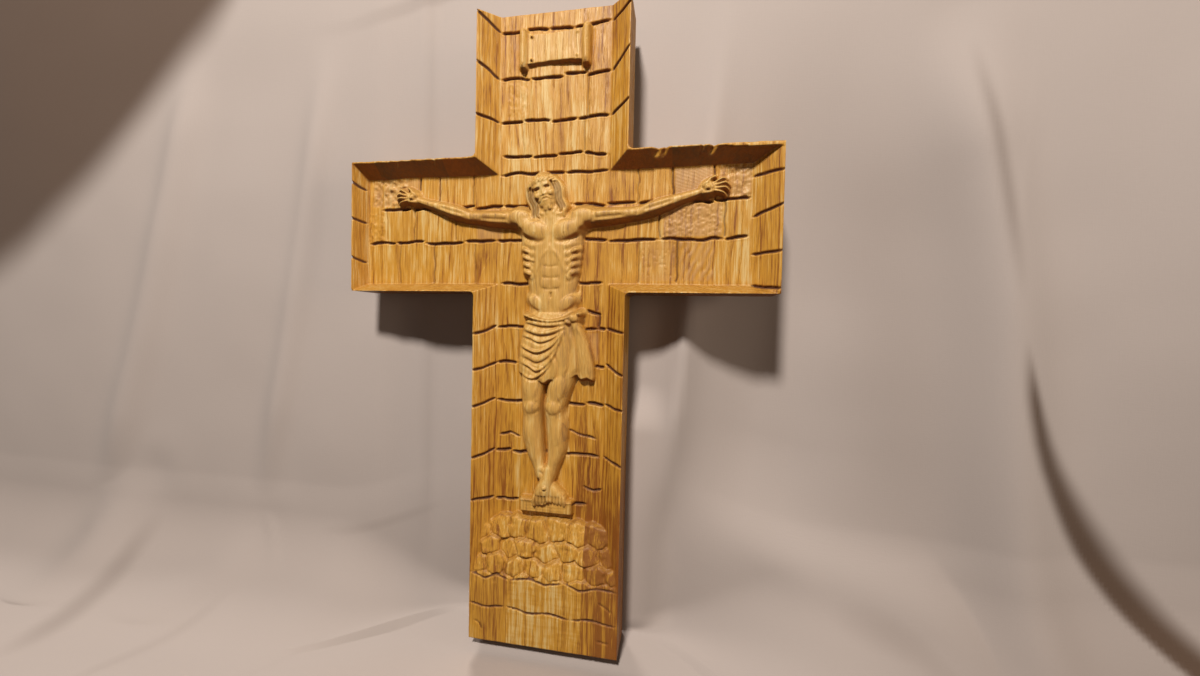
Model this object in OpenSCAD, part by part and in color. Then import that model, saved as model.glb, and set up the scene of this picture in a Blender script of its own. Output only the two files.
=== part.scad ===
// Wall crucifix: a board glued up from upright staves, carved on its face and hung by a
// swinging ring that lies in a pocket in its back.
// X runs to the viewer's right, Y from the carved face to the back, Z up. The origin is the
// middle of the foot of the upright, halfway through the board.

/* [Board] */
// Width of the upright
stem_w = 97; // [88:1:106]
// Reach of each arm beyond the upright
arm_reach = 88; // [80:1:100]
// Height of the arms
arm_h = 85; // [78:1:92]
// Length of the upright above the arms
top_len = 91; // [86:1:105]
// Length of the upright below the arms
bottom_len = 224; // [215:1:245]
// Thickness of the board
board_t = 26; // [25:0.5:32]
// Mean width of the two outermost staves
end_stave_w = 15.2; // [12:0.2:18]
// How far the glue joints lie to the right of an even spacing
glue_shift = 1.5; // [0.5:0.1:2.5]
// Radius left in the four inner corners of the outline
corner_r = 3; // [2:0.5:4]

/* [Hollow face] */
// Depth of the hollow below the rim
recess_d = 10; // [9:0.25:11]
// Flat land left on top of the rim
rim_land = 0.5; // [0.3:0.1:1]
// Sideways run of the sloped walls of the upright
stem_wall_run = 12; // [9:0.5:14]
// Downward run of the wall under the top edge of the arms
ceiling_run = 8.5; // [7:0.5:10]
// Upward run of the wall over the bottom edge of the arms
sill_run = 5.4; // [4:0.2:7]
// Sideways run of the wall at the left end
left_end_run = 5; // [4:0.5:7]
// Sideways run of the wall at the right end
right_end_run = 15; // [12:0.5:17]

/* [Stone courses] */
// Height of the grooves between the courses
course_groove_h = 1.8; // [1.2:0.1:2.4]
// Depth of the grooves between the courses
course_groove_d = 1.6; // [1:0.1:2]
// Width of the upright joints between the blocks
block_joint_w = 1; // [0.6:0.1:1.4]
// Depth of the upright joints between the blocks
block_joint_d = 0.8; // [0.5:0.1:1.2]
// Length of a block
block_len = 31; // [26:1:38]

/* [Carved figure] */
// Height of the figure from the top of the head to the toes
figure_h = 214; // [205:1:220]
// Distance between the tips of the hands
arm_span = 214; // [205:1:222]
// How far the top of the head lies below the top edge of the arms
head_drop = 9; // [7:0.5:12]
// Highest relief of the figure above the floor of the hollow
relief_h = 9.3; // [8.5:0.1:9.5]
// Thickness of the loincloth
cloth_t = 1.2; // [0.8:0.1:2]
// Radius of the braided crown's strands
crown_r = 1.2; // [0.8:0.1:1.5]

/* [Foot rest, mound and title] */
// Width of the foot rest
rest_w = 34; // [28:1:40]
// Height of the foot rest
rest_h = 9; // [7:0.5:11]
// Height of the rocky mound at the foot of the upright
mound_h = 70; // [60:1:76]
// Width of the title scroll between its rolled ends
title_w = 40; // [34:1:46]
// Height of the title scroll
title_h = 19; // [16:0.5:22]
// Thickness of the title scroll
title_t = 2.6; // [2:0.1:3.2]
// Radius of the rolled ends of the scroll
title_roll_r = 3; // [2.4:0.1:3.6]

/* [Hanger] */
// Depth of the pocket in the back
pocket_d = 5.2; // [5.2:0.1:6]
// Width of the pocket
pocket_w = 24; // [23:0.5:28]
// Distance of the ring's pivot below the top of the upright
pivot_drop = 38; // [36:0.5:44]
// Width of the strap
strap_w = 10.4; // [9.6:0.1:10.8]
// Thickness of the strap
strap_t = 1.2; // [1:0.1:1.3]
// Length of the strap below the pivot
strap_len = 39; // [37:0.5:40]
// Diameter of the ring's wire
ring_wire = 2; // [1.8:0.1:2.1]
// Width of the ring between the middles of its wire
ring_w = 15; // [14.6:0.2:17]
// Reach of the ring from its pivot to the middle of its far wire
ring_reach = 16.5; // [15:0.5:17]
// Bend radius of the ring's two corners
ring_corner_r = 1.6; // [1.4:0.1:1.7]
// Height of the pivot above the floor of the pocket
pivot_rise = 2.6; // [2.55:0.05:2.75]
// Diameter of the screws
screw_d = 3; // [2.6:0.1:3.2]
// Length of the screws under the head
screw_len = 10; // [8:0.5:10.5]
// Diameter of the screw heads
screw_head_d = 5.8; // [5.2:0.1:6.2]
// Height of the screw heads
screw_head_h = 1.8; // [1.4:0.1:2]
// Distance from the pivot to the upper screw
screw_first = 23; // [22:0.5:24]
// Distance between the two screws
screw_pitch = 10; // [8:0.5:11]

/* [Hidden] */
$fn = 48;

wood_light = [0.86, 0.68, 0.42];
wood_dark = [0.80, 0.60, 0.33];
zinc = [0.74, 0.75, 0.76];

// Running clearance of the ring in its curl
pivot_clearance = 0.1;
// Clearance of the screws in the wood and of their shanks in the strap
screw_fit = 0.05;
strap_hole_clearance = 0.3;
// Overrun of every cut
cut_over = 2;

half_w = stem_w / 2;
board_half = half_w + arm_reach;
board_h = bottom_len + arm_h + top_len;
arm_top_z = bottom_len + arm_h;
front_y = -board_t / 2;
back_y = board_t / 2;
floor_y = front_y + recess_d;
middle_staves = 5;
stave_w = 2 * (board_half - end_stave_w) / middle_staves;

// Courses, as shares of the height of the zone that they lie in
upper_course_shares = [0.02, 0.26, 0.56, 0.885];
arm_course_shares = [0.06, 0.385, 0.65, 0.89];
lower_course_shares = [0.40, 0.54, 0.69, 0.80, 0.90];

// Heights on the figure, as shares of its height below the top of the head
shoulder_share = 0.155;
chest_share = 0.225;
waist_share = 0.37;
cloth_top_share = 0.405;
hip_share = 0.45;
hem_share = 0.60;
knee_share = 0.70;
ankle_share = 0.90;
// Half widths and radii, as shares of the figure's height
shoulder_x_share = 0.066;
chest_x_share = 0.096;
waist_x_share = 0.077;
hip_x_share = 0.088;
hem_x_share = 0.1;
head_len_share = 0.132;
head_w_share = 0.092;
neck_r_share = 0.027;
upper_arm_r_share = 0.03;
elbow_r_share = 0.0235;
wrist_r_share = 0.0162;
thigh_r_share = 0.043;
knee_r_share = 0.0325;
ankle_r_share = 0.0195;
toe_r_share = 0.0135;
finger_r_share = 0.0062;
// How much a joint's ball is larger than the limb that ends there
joint_swell_share = 1.05;
// Places along half the arm span
elbow_span_share = 0.53;
wrist_span_share = 0.84;
// Rocks on the mound: place across half the upright, place up the solid foot, and how far
// their middles lie behind the rim as a share of their radius
mound_rock_shares = [[-0.9, 1.12, 0.98], [-0.36, 1.02, 0.9], [0.1, 1.16, 1.04],
                     [0.5, 0.98, 0.92], [0.96, 1.2, 0.97]];
// Rise of elbow, wrist and hand above the shoulder, as shares of the figure's height
elbow_rise_share = 0.03;
wrist_rise_share = 0.08;
hand_rise_share = 0.10;
head_tilt = 16;
head_bands = 12;
// Bands of a bead, and the angle from its axis at which its flat ends begin
bead_bands = 6;
bead_end = 20;

head_top_z = arm_top_z - head_drop;
head_len = head_len_share * figure_h;
head_w = head_w_share * figure_h;
half_span = arm_span / 2;
chest_half = chest_x_share * figure_h;
// The trunk turns about an upright line this far behind the floor of the hollow, so that it
// is as wide as the chest at the floor and as high as the relief
trunk_axis_d = (pow(chest_half, 2) - pow(relief_h, 2)) / (2 * relief_h);

pivot_z = board_h - pivot_drop;
pocket_y = back_y - pocket_d;
pivot_y = pocket_y + pivot_rise;
wire_r = ring_wire / 2;
curl_in_r = wire_r + pivot_clearance;
curl_out_r = curl_in_r + strap_t;
screw_zs = [pivot_z - screw_first, pivot_z - screw_first - screw_pitch];

function body_z(share) = head_top_z - share * figure_h;
function trunk_r(half) = sqrt(pow(half, 2) + pow(trunk_axis_d, 2));
// A point of the relief: across, height above the floor of the hollow, and height on the board
function relief_point(x, rise, z) = [x, floor_y - rise, z];
function glue_x(joint) = glue_shift + (joint - middle_staves / 2) * stave_w;

// Outline of the cross, seen from the front, with a fillet in each inner corner
module cross_outline() {
    for (side = [-1, 1])
        for (corner = [[bottom_len, -1], [arm_top_z, 1]])
            translate([side * half_w, corner[0]])
                difference() {
                    translate([side > 0 ? 0 : -corner_r, corner[1] > 0 ? 0 : -corner_r])
                        square(corner_r);
                    translate([side * corner_r, corner[1] * corner_r])
                        circle(corner_r);
                }
    polygon([
        [-half_w, 0], [half_w, 0], [half_w, bottom_len], [board_half, bottom_len],
        [board_half, arm_top_z], [half_w, arm_top_z], [half_w, board_h], [-half_w, board_h],
        [-half_w, arm_top_z], [-board_half, arm_top_z], [-board_half, bottom_len],
        [-half_w, bottom_len]
    ]);
}

module blank() {
    translate([0, back_y, 0])
        rotate([90, 0, 0])
            linear_extrude(board_t)
                cross_outline();
}

// Plan of a hollow with sloped side walls, deeper at its floor by the depth of a groove
module hollow_plan(left, right, left_run, right_run, deeper) {
    polygon([
        [left, front_y - cut_over], [right, front_y - cut_over], [right, front_y],
        [right - right_run + deeper, floor_y + deeper],
        [left + left_run - deeper, floor_y + deeper], [left, front_y]
    ]);
}

module stem_hollow(deeper) {
    rim_x = half_w - rim_land;
    linear_extrude(board_h + cut_over)
        hollow_plan(-rim_x, rim_x, stem_wall_run, stem_wall_run, deeper);
}

module arm_hollow(deeper) {
    rim_x = board_half - rim_land;
    low_z = bottom_len + rim_land;
    high_z = arm_top_z - rim_land;
    intersection() {
        linear_extrude(board_h)
            hollow_plan(-rim_x, rim_x, left_end_run, right_end_run, deeper);
        translate([-board_half, 0, 0])
            rotate([90, 0, 90])
                linear_extrude(2 * board_half)
                    polygon([
                        [front_y - cut_over, low_z], [front_y, low_z],
                        [floor_y + deeper, low_z + sill_run - deeper],
                        [floor_y + deeper, high_z - ceiling_run + deeper],
                        [front_y, high_z], [front_y - cut_over, high_z]
                    ]);
    }
}

// Thin level slabs at the heights of the courses
module course_slabs(zs, half) {
    for (z = zs)
        translate([-half, front_y, z - course_groove_h / 2])
            cube([2 * half, board_t / 2, course_groove_h]);
}

// Upright joints of one row of blocks, every second row shifted by half a block
module block_joints(low_z, high_z, half, row) {
    shift = (row % 2) * block_len / 2;
    count = floor(half / block_len) + 1;
    for (i = [-count : count]) {
        x = i * block_len + shift;
        if (abs(x) < half)
            translate([x - block_joint_w / 2, front_y, low_z])
                cube([block_joint_w, recess_d + block_joint_d, high_z - low_z]);
    }
}

upper_zs = [for (s = upper_course_shares) arm_top_z + s * top_len];
arm_zs = [for (s = arm_course_shares) bottom_len + s * arm_h];
lower_zs = [for (s = lower_course_shares) s * bottom_len];
stem_rows = concat(lower_zs, arm_zs, upper_zs, [board_h + cut_over]);

module courses() {
    intersection() {
        stem_hollow(course_groove_d);
        course_slabs(concat(lower_zs, upper_zs), half_w);
    }
    intersection() {
        arm_hollow(course_groove_d);
        course_slabs(arm_zs, board_half);
    }
    floor_half = half_w - rim_land - stem_wall_run;
    for (i = [0 : len(stem_rows) - 2])
        block_joints(stem_rows[i], stem_rows[i + 1], floor_half, i);
    intersection() {
        arm_hollow(block_joint_d);
        for (i = [0 : len(arm_zs) - 2])
            block_joints(arm_zs[i], arm_zs[i + 1], board_half - right_end_run, i);
    }
}

// Round bead with small flat ends, which points along the given direction
module bead(p, r, along) {
    translate(p)
        rotate([0, acos(along[2] / norm(along)), atan2(along[1], along[0])])
            rotate_extrude()
                polygon([
                    [0, -r * cos(bead_end)],
                    for (i = [0 : bead_bands])
                        let (turn = bead_end + i * (180 - 2 * bead_end) / bead_bands)
                            [r * sin(turn), -r * cos(turn)],
                    [0, r * cos(bead_end)]
                ]);
}

// Round tapered length between two points
module limb(a, b, r_a, r_b) {
    d = b - a;
    translate(a)
        rotate([0, acos(d[2] / norm(d)), atan2(d[1], d[0])])
            cylinder(h = norm(d), r1 = r_a, r2 = r_b);
}

// One arm: side is -1 for the left and 1 for the right
module arm(side) {
    shoulder = relief_point(side * shoulder_x_share * figure_h, relief_h * 0.25,
                            body_z(shoulder_share));
    elbow = relief_point(side * elbow_span_share * half_span, relief_h * 0.2,
                         body_z(shoulder_share - elbow_rise_share));
    wrist = relief_point(side * wrist_span_share * half_span, relief_h * 0.2,
                         body_z(shoulder_share - wrist_rise_share));
    upper_r = upper_arm_r_share * figure_h;
    elbow_r = elbow_r_share * figure_h;
    wrist_r = wrist_r_share * figure_h;
    bead(shoulder, upper_r * joint_swell_share, elbow - shoulder);
    limb(shoulder, elbow, upper_r, elbow_r);
    bead(elbow, elbow_r * joint_swell_share, wrist - elbow);
    limb(elbow, wrist, elbow_r, wrist_r);
    hand(side, wrist);
}

// Open hand: a palm, four fingers fanned outwards, a thumb and the head of a nail
module hand(side, wrist) {
    palm_r = wrist_r_share * figure_h;
    finger_r = finger_r_share * figure_h;
    tip_x = half_span;
    reach = tip_x - abs(wrist[0]);
    palm = wrist + [side * reach * 0.3, 0, reach * 0.08];
    bead(palm, palm_r * 1.25, [side, 0, 0]);
    for (i = [0 : 3]) {
        spread = (i - 1.5) * palm_r * 0.55;
        root = palm + [side * palm_r * 0.5, -finger_r, spread];
        tip = [side * tip_x, floor_y - finger_r, body_z(shoulder_share - hand_rise_share)
               + spread * 1.6];
        limb(root, tip, finger_r * 1.15, finger_r);
    }
    limb(palm, palm + [side * reach * 0.25, 0, reach * 0.42], finger_r * 1.4, finger_r);
    bead(palm + [0, -palm_r * 1.15, 0], finger_r * 1.3, [0, 1, 0]);
}

// Chest, waist and hips, turned about an upright line behind the floor
module trunk() {
    hip_z = body_z(hip_share);
    translate([0, floor_y + trunk_axis_d, 0])
        rotate_extrude($fn = 96)
            polygon([
                [0, hip_z], [trunk_r(hip_x_share * figure_h), hip_z],
                [trunk_r(waist_x_share * figure_h), body_z(waist_share)],
                [trunk_r(chest_half * 0.95), body_z(chest_share + 0.06)],
                [trunk_r(chest_half), body_z(chest_share)],
                [trunk_r(chest_half * 0.92), body_z(shoulder_share + 0.02)],
                [trunk_r(chest_half * 0.55), body_z(shoulder_share - 0.03)],
                [0, body_z(shoulder_share - 0.03)]
            ]);
}

// Loincloth, its knot and the end that hangs at the hip
module loincloth() {
    top_z = body_z(cloth_top_share);
    hem_z = body_z(hem_share);
    hem_x = hem_x_share * figure_h;
    translate([0, floor_y + trunk_axis_d, 0])
        rotate_extrude($fn = 96)
            polygon([
                [0, hem_z], [trunk_r(hem_x) + cloth_t, hem_z],
                [trunk_r(hem_x * 0.97) + cloth_t, body_z(hip_share + 0.05)],
                [trunk_r(hip_x_share * figure_h) + cloth_t, body_z(hip_share)],
                [trunk_r(waist_x_share * figure_h) + cloth_t, top_z], [0, top_z]
            ]);
}

// Knot of the loincloth and its end, which hangs at the hip over a glue joint
module cloth_fall() {
    hem_x = hem_x_share * figure_h;
    knot_r = cloth_t * 3.6;
    knot = relief_point(hem_x * 0.8, relief_h * 0.2, body_z(cloth_top_share + 0.015));
    fall = relief_point(hem_x * 1.16, relief_h * 0.1, body_z(hem_share - 0.01));
    bead(knot, knot_r, fall - knot);
    limb(knot, fall, knot_r * 0.6, knot_r * 1.05);
}

// Legs bent at the knees, which come out under the hem, with one foot crossed over the other
module legs() {
    thigh_r = thigh_r_share * figure_h;
    knee_r = knee_r_share * figure_h;
    ankle_r = ankle_r_share * figure_h;
    toe_r = toe_r_share * figure_h;
    for (side = [-1, 1]) {
        hip = relief_point(side * thigh_r * 1.1 - knee_r * 0.2, 0, body_z(hem_share - 0.03));
        knee = relief_point(side * knee_r * 1.05 - knee_r * 0.45, relief_h * 0.32,
                            body_z(knee_share + side * 0.008));
        ankle = relief_point(side * ankle_r * 0.75, relief_h * (0.2 + side * 0.12),
                             body_z(ankle_share));
        toes = relief_point(-side * toe_r * 1.1, relief_h * (0.42 + side * 0.18), body_z(0.99));
        limb(hip, knee, thigh_r, knee_r);
        bead(knee, knee_r * joint_swell_share, ankle - knee);
        limb(knee, ankle, knee_r, ankle_r);
        bead(ankle, ankle_r * 1.12, toes - ankle);
        limb(ankle, toes, ankle_r, toe_r);
    }
}

// Bowed head with hair, beard, nose and a braided crown
module head() {
    rise = relief_h - head_w / 2 - crown_r * 0.4;
    middle = relief_point(-head_len * 0.08, rise, head_top_z - head_len / 2);
    translate(middle)
        rotate([-8, -head_tilt, 0]) {
            rotate_extrude()
                polygon([
                    for (i = [0 : head_bands])
                        [head_w / 2 * sin(i * 180 / head_bands),
                         -head_len / 2 * cos(i * 180 / head_bands)]
                ]);
            translate([0, 0, head_len * 0.24])
                rotate_extrude()
                    translate([head_w * 0.455, 0])
                        circle(crown_r, $fn = 24);
            limb([0, -head_w * 0.44, head_len * 0.1], [0, -head_w * 0.5, -head_len * 0.08],
                 head_w * 0.05, head_w * 0.09);
            bead([0, -head_w * 0.2, -head_len * 0.36], head_w * 0.3, [0, 0, 1]);
            for (side = [-1, 1])
                limb([side * head_w * 0.42, 0, head_len * 0.2],
                     [side * head_w * 0.5, 0, -head_len * 0.62], head_w * 0.2, head_w * 0.13);
        }
    neck_r = neck_r_share * figure_h;
    limb(relief_point(-head_len * 0.06, relief_h * 0.2, head_top_z - head_len * 0.7),
         relief_point(0, relief_h * 0.2, body_z(chest_share)), neck_r, neck_r * 1.5);
}

module foot_rest() {
    top_z = body_z(0.97);
    translate([-rest_w / 2, floor_y - relief_h * 0.45, top_z - rest_h])
        cube([rest_w, relief_h * 0.45 + cut_over, rest_h]);
}

// Rocks that fill the foot of the upright as high as the rim
module mound() {
    fill_h = mound_h * 0.62;
    translate([-half_w, front_y, 0])
        cube([stem_w, recess_d + cut_over, fill_h]);
    rock_r = mound_h * 0.3;
    for (rock = mound_rock_shares)
        translate(relief_point(rock[0] * half_w, recess_d - rock[2] * rock_r,
                               rock[1] * fill_h))
            sphere(rock_r);
}

module title_scroll() {
    middle_z = arm_top_z + (upper_course_shares[2] + upper_course_shares[3]) * top_len / 2
               + title_h * 0.12;
    translate([-title_w / 2, floor_y - title_t, middle_z - title_h / 2])
        cube([title_w, title_t + cut_over, title_h]);
    for (side = [-1, 1])
        translate(relief_point(side * title_w / 2, title_t * 0.55, middle_z - title_h * 0.56))
            cylinder(h = title_h * 1.12, r = title_roll_r);
}

// Pocket in the back with round ends, and pilot holes for the screws
module hanger_pocket() {
    end_r = pocket_w / 2;
    high_z = pivot_z + ring_reach + wire_r + (end_r - ring_w / 2);
    low_z = pivot_z - strap_len - (end_r - strap_w / 2) / 2;
    translate([0, pocket_y, 0])
        rotate([-90, 0, 0]) {
            translate([0, -high_z + end_r, 0])
                cylinder(h = pocket_d + cut_over, r = end_r);
            translate([0, -low_z - end_r, 0])
                cylinder(h = pocket_d + cut_over, r = end_r);
            translate([-end_r, -high_z + end_r, 0])
                cube([pocket_w, high_z - low_z - pocket_w, pocket_d + cut_over]);
        }
    for (z = screw_zs)
        translate([0, pocket_y + cut_over, z])
            rotate([90, 0, 0])
                cylinder(h = screw_len - strap_t + screw_fit + cut_over,
                         r = screw_d / 2 + screw_fit);
}

// One stave between two glue joints: the carved board and the given forms, cut to its width
module stave(left, right, shade) {
    color(shade)
        intersection() {
            translate([left, front_y, 0])
                cube([right - left, board_t, board_h]);
            blank();
            union() {
                difference() {
                    blank();
                    stem_hollow(0);
                    arm_hollow(0);
                    courses();
                }
                children();
            }
        }
}

module stave_end_left() {
    stave(-board_half, glue_x(0), wood_dark);
}

module stave_arm_left() {
    stave(glue_x(0), glue_x(1), wood_light)
        arm(-1);
}

module stave_side_left() {
    stave(glue_x(1), glue_x(2), wood_dark) {
        arm(-1);
        mound();
    }
}

module stave_centre() {
    difference() {
        stave(glue_x(2), glue_x(3), wood_light) {
            title_scroll();
            head();
            arm(-1);
            arm(1);
            trunk();
            loincloth();
            cloth_fall();
            legs();
            foot_rest();
            mound();
        }
        color(wood_light)
            hanger_pocket();
    }
}

module stave_side_right() {
    stave(glue_x(3), glue_x(4), wood_dark) {
        arm(1);
        cloth_fall();
        mound();
    }
}

module stave_arm_right() {
    stave(glue_x(4), glue_x(5), wood_light)
        arm(1);
}

module stave_end_right() {
    stave(glue_x(5), board_half, wood_dark);
}

// Strap bent round the ring's bar, with two screw holes
module hanger_strap() {
    end_r = strap_w / 2;
    color(zinc)
        difference() {
            union() {
                translate([-strap_w / 2, pivot_y, pivot_z])
                    rotate([0, 90, 0])
                        cylinder(h = strap_w, r = curl_out_r);
                translate([-strap_w / 2, pocket_y, pivot_z - strap_len + end_r])
                    cube([strap_w, strap_t, strap_len - end_r]);
                translate([0, pocket_y + strap_t, pivot_z - strap_len + end_r])
                    rotate([90, 0, 0])
                        cylinder(h = strap_t, r = end_r);
            }
            translate([-strap_w / 2 - cut_over, pivot_y, pivot_z])
                rotate([0, 90, 0])
                    cylinder(h = strap_w + 2 * cut_over, r = curl_in_r);
            for (z = screw_zs)
                translate([0, pocket_y + strap_t + cut_over, z])
                    rotate([90, 0, 0])
                        cylinder(h = strap_t + 2 * cut_over,
                                 r = screw_d / 2 + strap_hole_clearance);
        }
}

// Ring shaped like a D, hanging from its straight bar
module hanger_ring() {
    side_x = ring_w / 2;
    bend_z = side_x - ring_reach;
    color(zinc)
        translate([0, pivot_y, pivot_z]) {
            translate([ring_corner_r - side_x, 0, 0])
                rotate([0, 90, 0])
                    cylinder(h = ring_w - 2 * ring_corner_r, r = wire_r);
            for (side = [-1, 1]) {
                translate([side * side_x, 0, bend_z])
                    cylinder(h = -bend_z - ring_corner_r, r = wire_r);
                translate([side * (side_x - ring_corner_r), 0, -ring_corner_r])
                    mirror([side < 0 ? 1 : 0, 0, 0])
                        rotate([90, 0, 0])
                            rotate_extrude(angle = 90)
                                translate([ring_corner_r, 0])
                                    circle(wire_r, $fn = 32);
            }
            translate([0, 0, bend_z])
                rotate([90, 180, 0])
                    rotate_extrude(angle = 180)
                        translate([side_x, 0])
                            circle(wire_r, $fn = 32);
        }
}

// Two round-headed screws with crossed slots
module hanger_screws() {
    slot_w = screw_d / 4;
    slot_len = screw_head_d * 0.55;
    head_y = pocket_y + strap_t;
    color(zinc)
        for (z = screw_zs)
            translate([0, head_y, z])
                rotate([-90, 0, 0])
                    difference() {
                        union() {
                            cylinder(h = screw_head_h * 0.45, r = screw_head_d / 2);
                            translate([0, 0, screw_head_h * 0.45])
                                cylinder(h = screw_head_h * 0.55, r1 = screw_head_d / 2,
                                         r2 = screw_head_d * 0.32);
                            translate([0, 0, screw_d - screw_len])
                                cylinder(h = screw_len - screw_d, r = screw_d / 2);
                            translate([0, 0, -screw_len])
                                cylinder(h = screw_d, r1 = screw_d / 10, r2 = screw_d / 2);
                        }
                        for (turn = [0, 90])
                            rotate([0, 0, turn])
                                translate([-slot_len / 2, -slot_w / 2, screw_head_h * 0.4])
                                    cube([slot_len, slot_w, screw_head_h]);
                    }
}

stave_end_left();
stave_arm_left();
stave_side_left();
stave_centre();
stave_side_right();
stave_arm_right();
stave_end_right();
hanger_strap();
hanger_ring();
hanger_screws();
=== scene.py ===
"""Wall crucifix of oiled ash: a board glued up from upright staves, carved on its face,
with a swinging ring let into its back."""
import math

import bpy
import numpy as np
from mathutils import Matrix, Vector


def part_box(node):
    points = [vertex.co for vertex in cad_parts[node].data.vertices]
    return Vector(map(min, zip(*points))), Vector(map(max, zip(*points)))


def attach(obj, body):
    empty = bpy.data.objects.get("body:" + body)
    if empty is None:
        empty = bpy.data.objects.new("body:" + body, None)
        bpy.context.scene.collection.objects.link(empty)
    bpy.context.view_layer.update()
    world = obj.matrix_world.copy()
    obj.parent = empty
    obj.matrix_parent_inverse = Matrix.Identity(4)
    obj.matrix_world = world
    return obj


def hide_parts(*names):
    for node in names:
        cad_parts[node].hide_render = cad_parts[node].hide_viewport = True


bl_info = {
    "name": "Wall crucifix",
    "version": (1, 0, 0),
    "blender": (4, 5, 0),
    "location": "View3D > Sidebar > Crucifix",
    "description": "Carved ash board, its hanging ring and a cloth to stand on",
    "category": "Object",
}

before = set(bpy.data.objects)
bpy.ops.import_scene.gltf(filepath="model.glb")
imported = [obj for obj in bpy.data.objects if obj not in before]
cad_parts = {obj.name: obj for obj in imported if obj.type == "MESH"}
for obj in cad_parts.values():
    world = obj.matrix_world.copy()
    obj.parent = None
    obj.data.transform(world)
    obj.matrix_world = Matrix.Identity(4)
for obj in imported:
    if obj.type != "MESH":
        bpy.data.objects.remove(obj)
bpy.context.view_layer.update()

MM = 0.001
FLOOR_Y, BACK_Y = -3.0, 13.0
RIM = 10.0  # height of the front rim above the hollow's floor
HALF_W, BOARD_HALF, BOARD_H = 48.5, 136.5, 400.0
LOW_Z, TOP_Z = 224.0, 309.0
CORNER_R = 3.0
OUTSIDE = 99.0  # a height above any rim
RELAX_ROUNDS = 10
BACK_EDGE = 0.35  # chamfer round the back
GROOVE_W, GROOVE_D = 1.75, 1.6  # the grooves that the depths below are given for
TINY = 1e-6
PIVOT_Y, PIVOT_Z = 10.4, 362.0
POCKET_R, POCKET_TOP, POCKET_FOOT = 12.0, 384.0, 319.6

# edges of the hollow's floor, and how far each wall runs from there to the rim
STEM_FLOOR, STEM_RUN = 36.0, 12.0
LEFT_FLOOR, LEFT_RUN = -131.0, 5.0
RIGHT_FLOOR, RIGHT_RUN = 121.0, 15.0
SILL_FLOOR, SILL_RUN = 229.4, 5.4
CEILING_FLOOR, CEILING_RUN = 300.0, 8.5

# the camera: place and directions, with its focal length in pixels of a 1200-pixel picture
CAMERA_AT = (0.08193, -0.27327, 0.20384)
CAMERA_RIGHT = (0.98321, 0.18122, 0.02127)
CAMERA_UP = (-0.02596, 0.02355, 0.99939)
CAMERA_AHEAD = (-0.18061, 0.98316, -0.02786)
PICTURE_W, FOCAL, SENSOR = 1200, 439.577, 36.0

# node, material slot, middle of the growth rings across and behind, ring spacing, darkness,
# extra darkness near the foot, seed
STAVES = [
    ("stave_end_left", "ash_dark", -60.0, 210.0, 2.6, 0.20, 0.0, 1.0),
    ("stave_arm_left", "ash_light", -190.0, 120.0, 3.1, 0.10, 0.0, 2.0),
    ("stave_side_left", "ash_dark", 30.0, 160.0, 2.5, 0.24, 0.26, 3.0),
    ("stave_centre", "ash_light", -86.0, 96.0, 2.7, 0.05, 0.08, 4.0),
    ("stave_side_right", "ash_dark", -40.0, 150.0, 2.4, 0.32, 0.60, 5.0),
    ("stave_arm_right", "ash_light", 180.0, 150.0, 3.0, 0.12, 0.0, 6.0),
    ("stave_end_right", "ash_dark", 40.0, 190.0, 2.5, 0.28, 0.0, 7.0),
]


# Settings

class AshSettings(bpy.types.PropertyGroup):
    light_tone: bpy.props.FloatVectorProperty(
        name="Light wood", description="Colour of the dense wood between the rings",
        subtype="COLOR", size=3, min=0, max=1, default=(0.80, 0.545, 0.205))
    mid_tone: bpy.props.FloatVectorProperty(
        name="Warm wood", description="Colour of the porous part of each ring",
        subtype="COLOR", size=3, min=0, max=1, default=(0.67, 0.325, 0.034))
    grain_tone: bpy.props.FloatVectorProperty(
        name="Pores", description="Colour of the open pores",
        subtype="COLOR", size=3, min=0, max=1, default=(0.28, 0.088, 0.007))
    # the grooves' dark colour stands for gathered oil and for painted shade
    groove_oil_and_shade: bpy.props.FloatVectorProperty(
        name="Grooves", description="Colour of the oil that has gathered in the grooves",
        subtype="COLOR", size=3, min=0, max=1, default=(0.10, 0.030, 0.006))
    roughness: bpy.props.FloatProperty(
        name="Roughness", description="Roughness of the oiled surface",
        subtype="FACTOR", min=0, max=1, default=0.46)
    pore_depth: bpy.props.FloatProperty(
        name="Pore depth", description="Depth of the open pores",
        subtype="DISTANCE", unit="LENGTH", min=0, max=0.001, default=0.00012)


class CarvingSettings(bpy.types.PropertyGroup):
    step: bpy.props.FloatProperty(
        name="Cutter step", description="Distance between neighbouring cuts, in millimetres",
        min=0.3, max=2.0, default=0.465)
    slope: bpy.props.FloatProperty(
        name="Steepest side", description="Steepest side that the cutter leaves, as rise over run",
        min=1.0, max=8.0, default=3.4)
    groove_w: bpy.props.FloatProperty(
        name="Groove width", description="Width of the grooves between courses, in millimetres",
        min=0.8, max=3.0, default=GROOVE_W)
    groove_d: bpy.props.FloatProperty(
        name="Groove depth", description="Depth of the grooves between courses, in millimetres",
        min=0.4, max=2.0, default=GROOVE_D)


class HangerSettings(bpy.types.PropertyGroup):
    zinc_tone: bpy.props.FloatVectorProperty(
        name="Zinc", description="Colour of the zinc plating",
        subtype="COLOR", size=3, min=0, max=1, default=(0.60, 0.61, 0.62))
    wire: bpy.props.FloatProperty(
        name="Ring wire", description="Diameter of the ring's wire",
        subtype="DISTANCE", unit="LENGTH", min=0.001, max=0.003, default=0.002)


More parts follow.
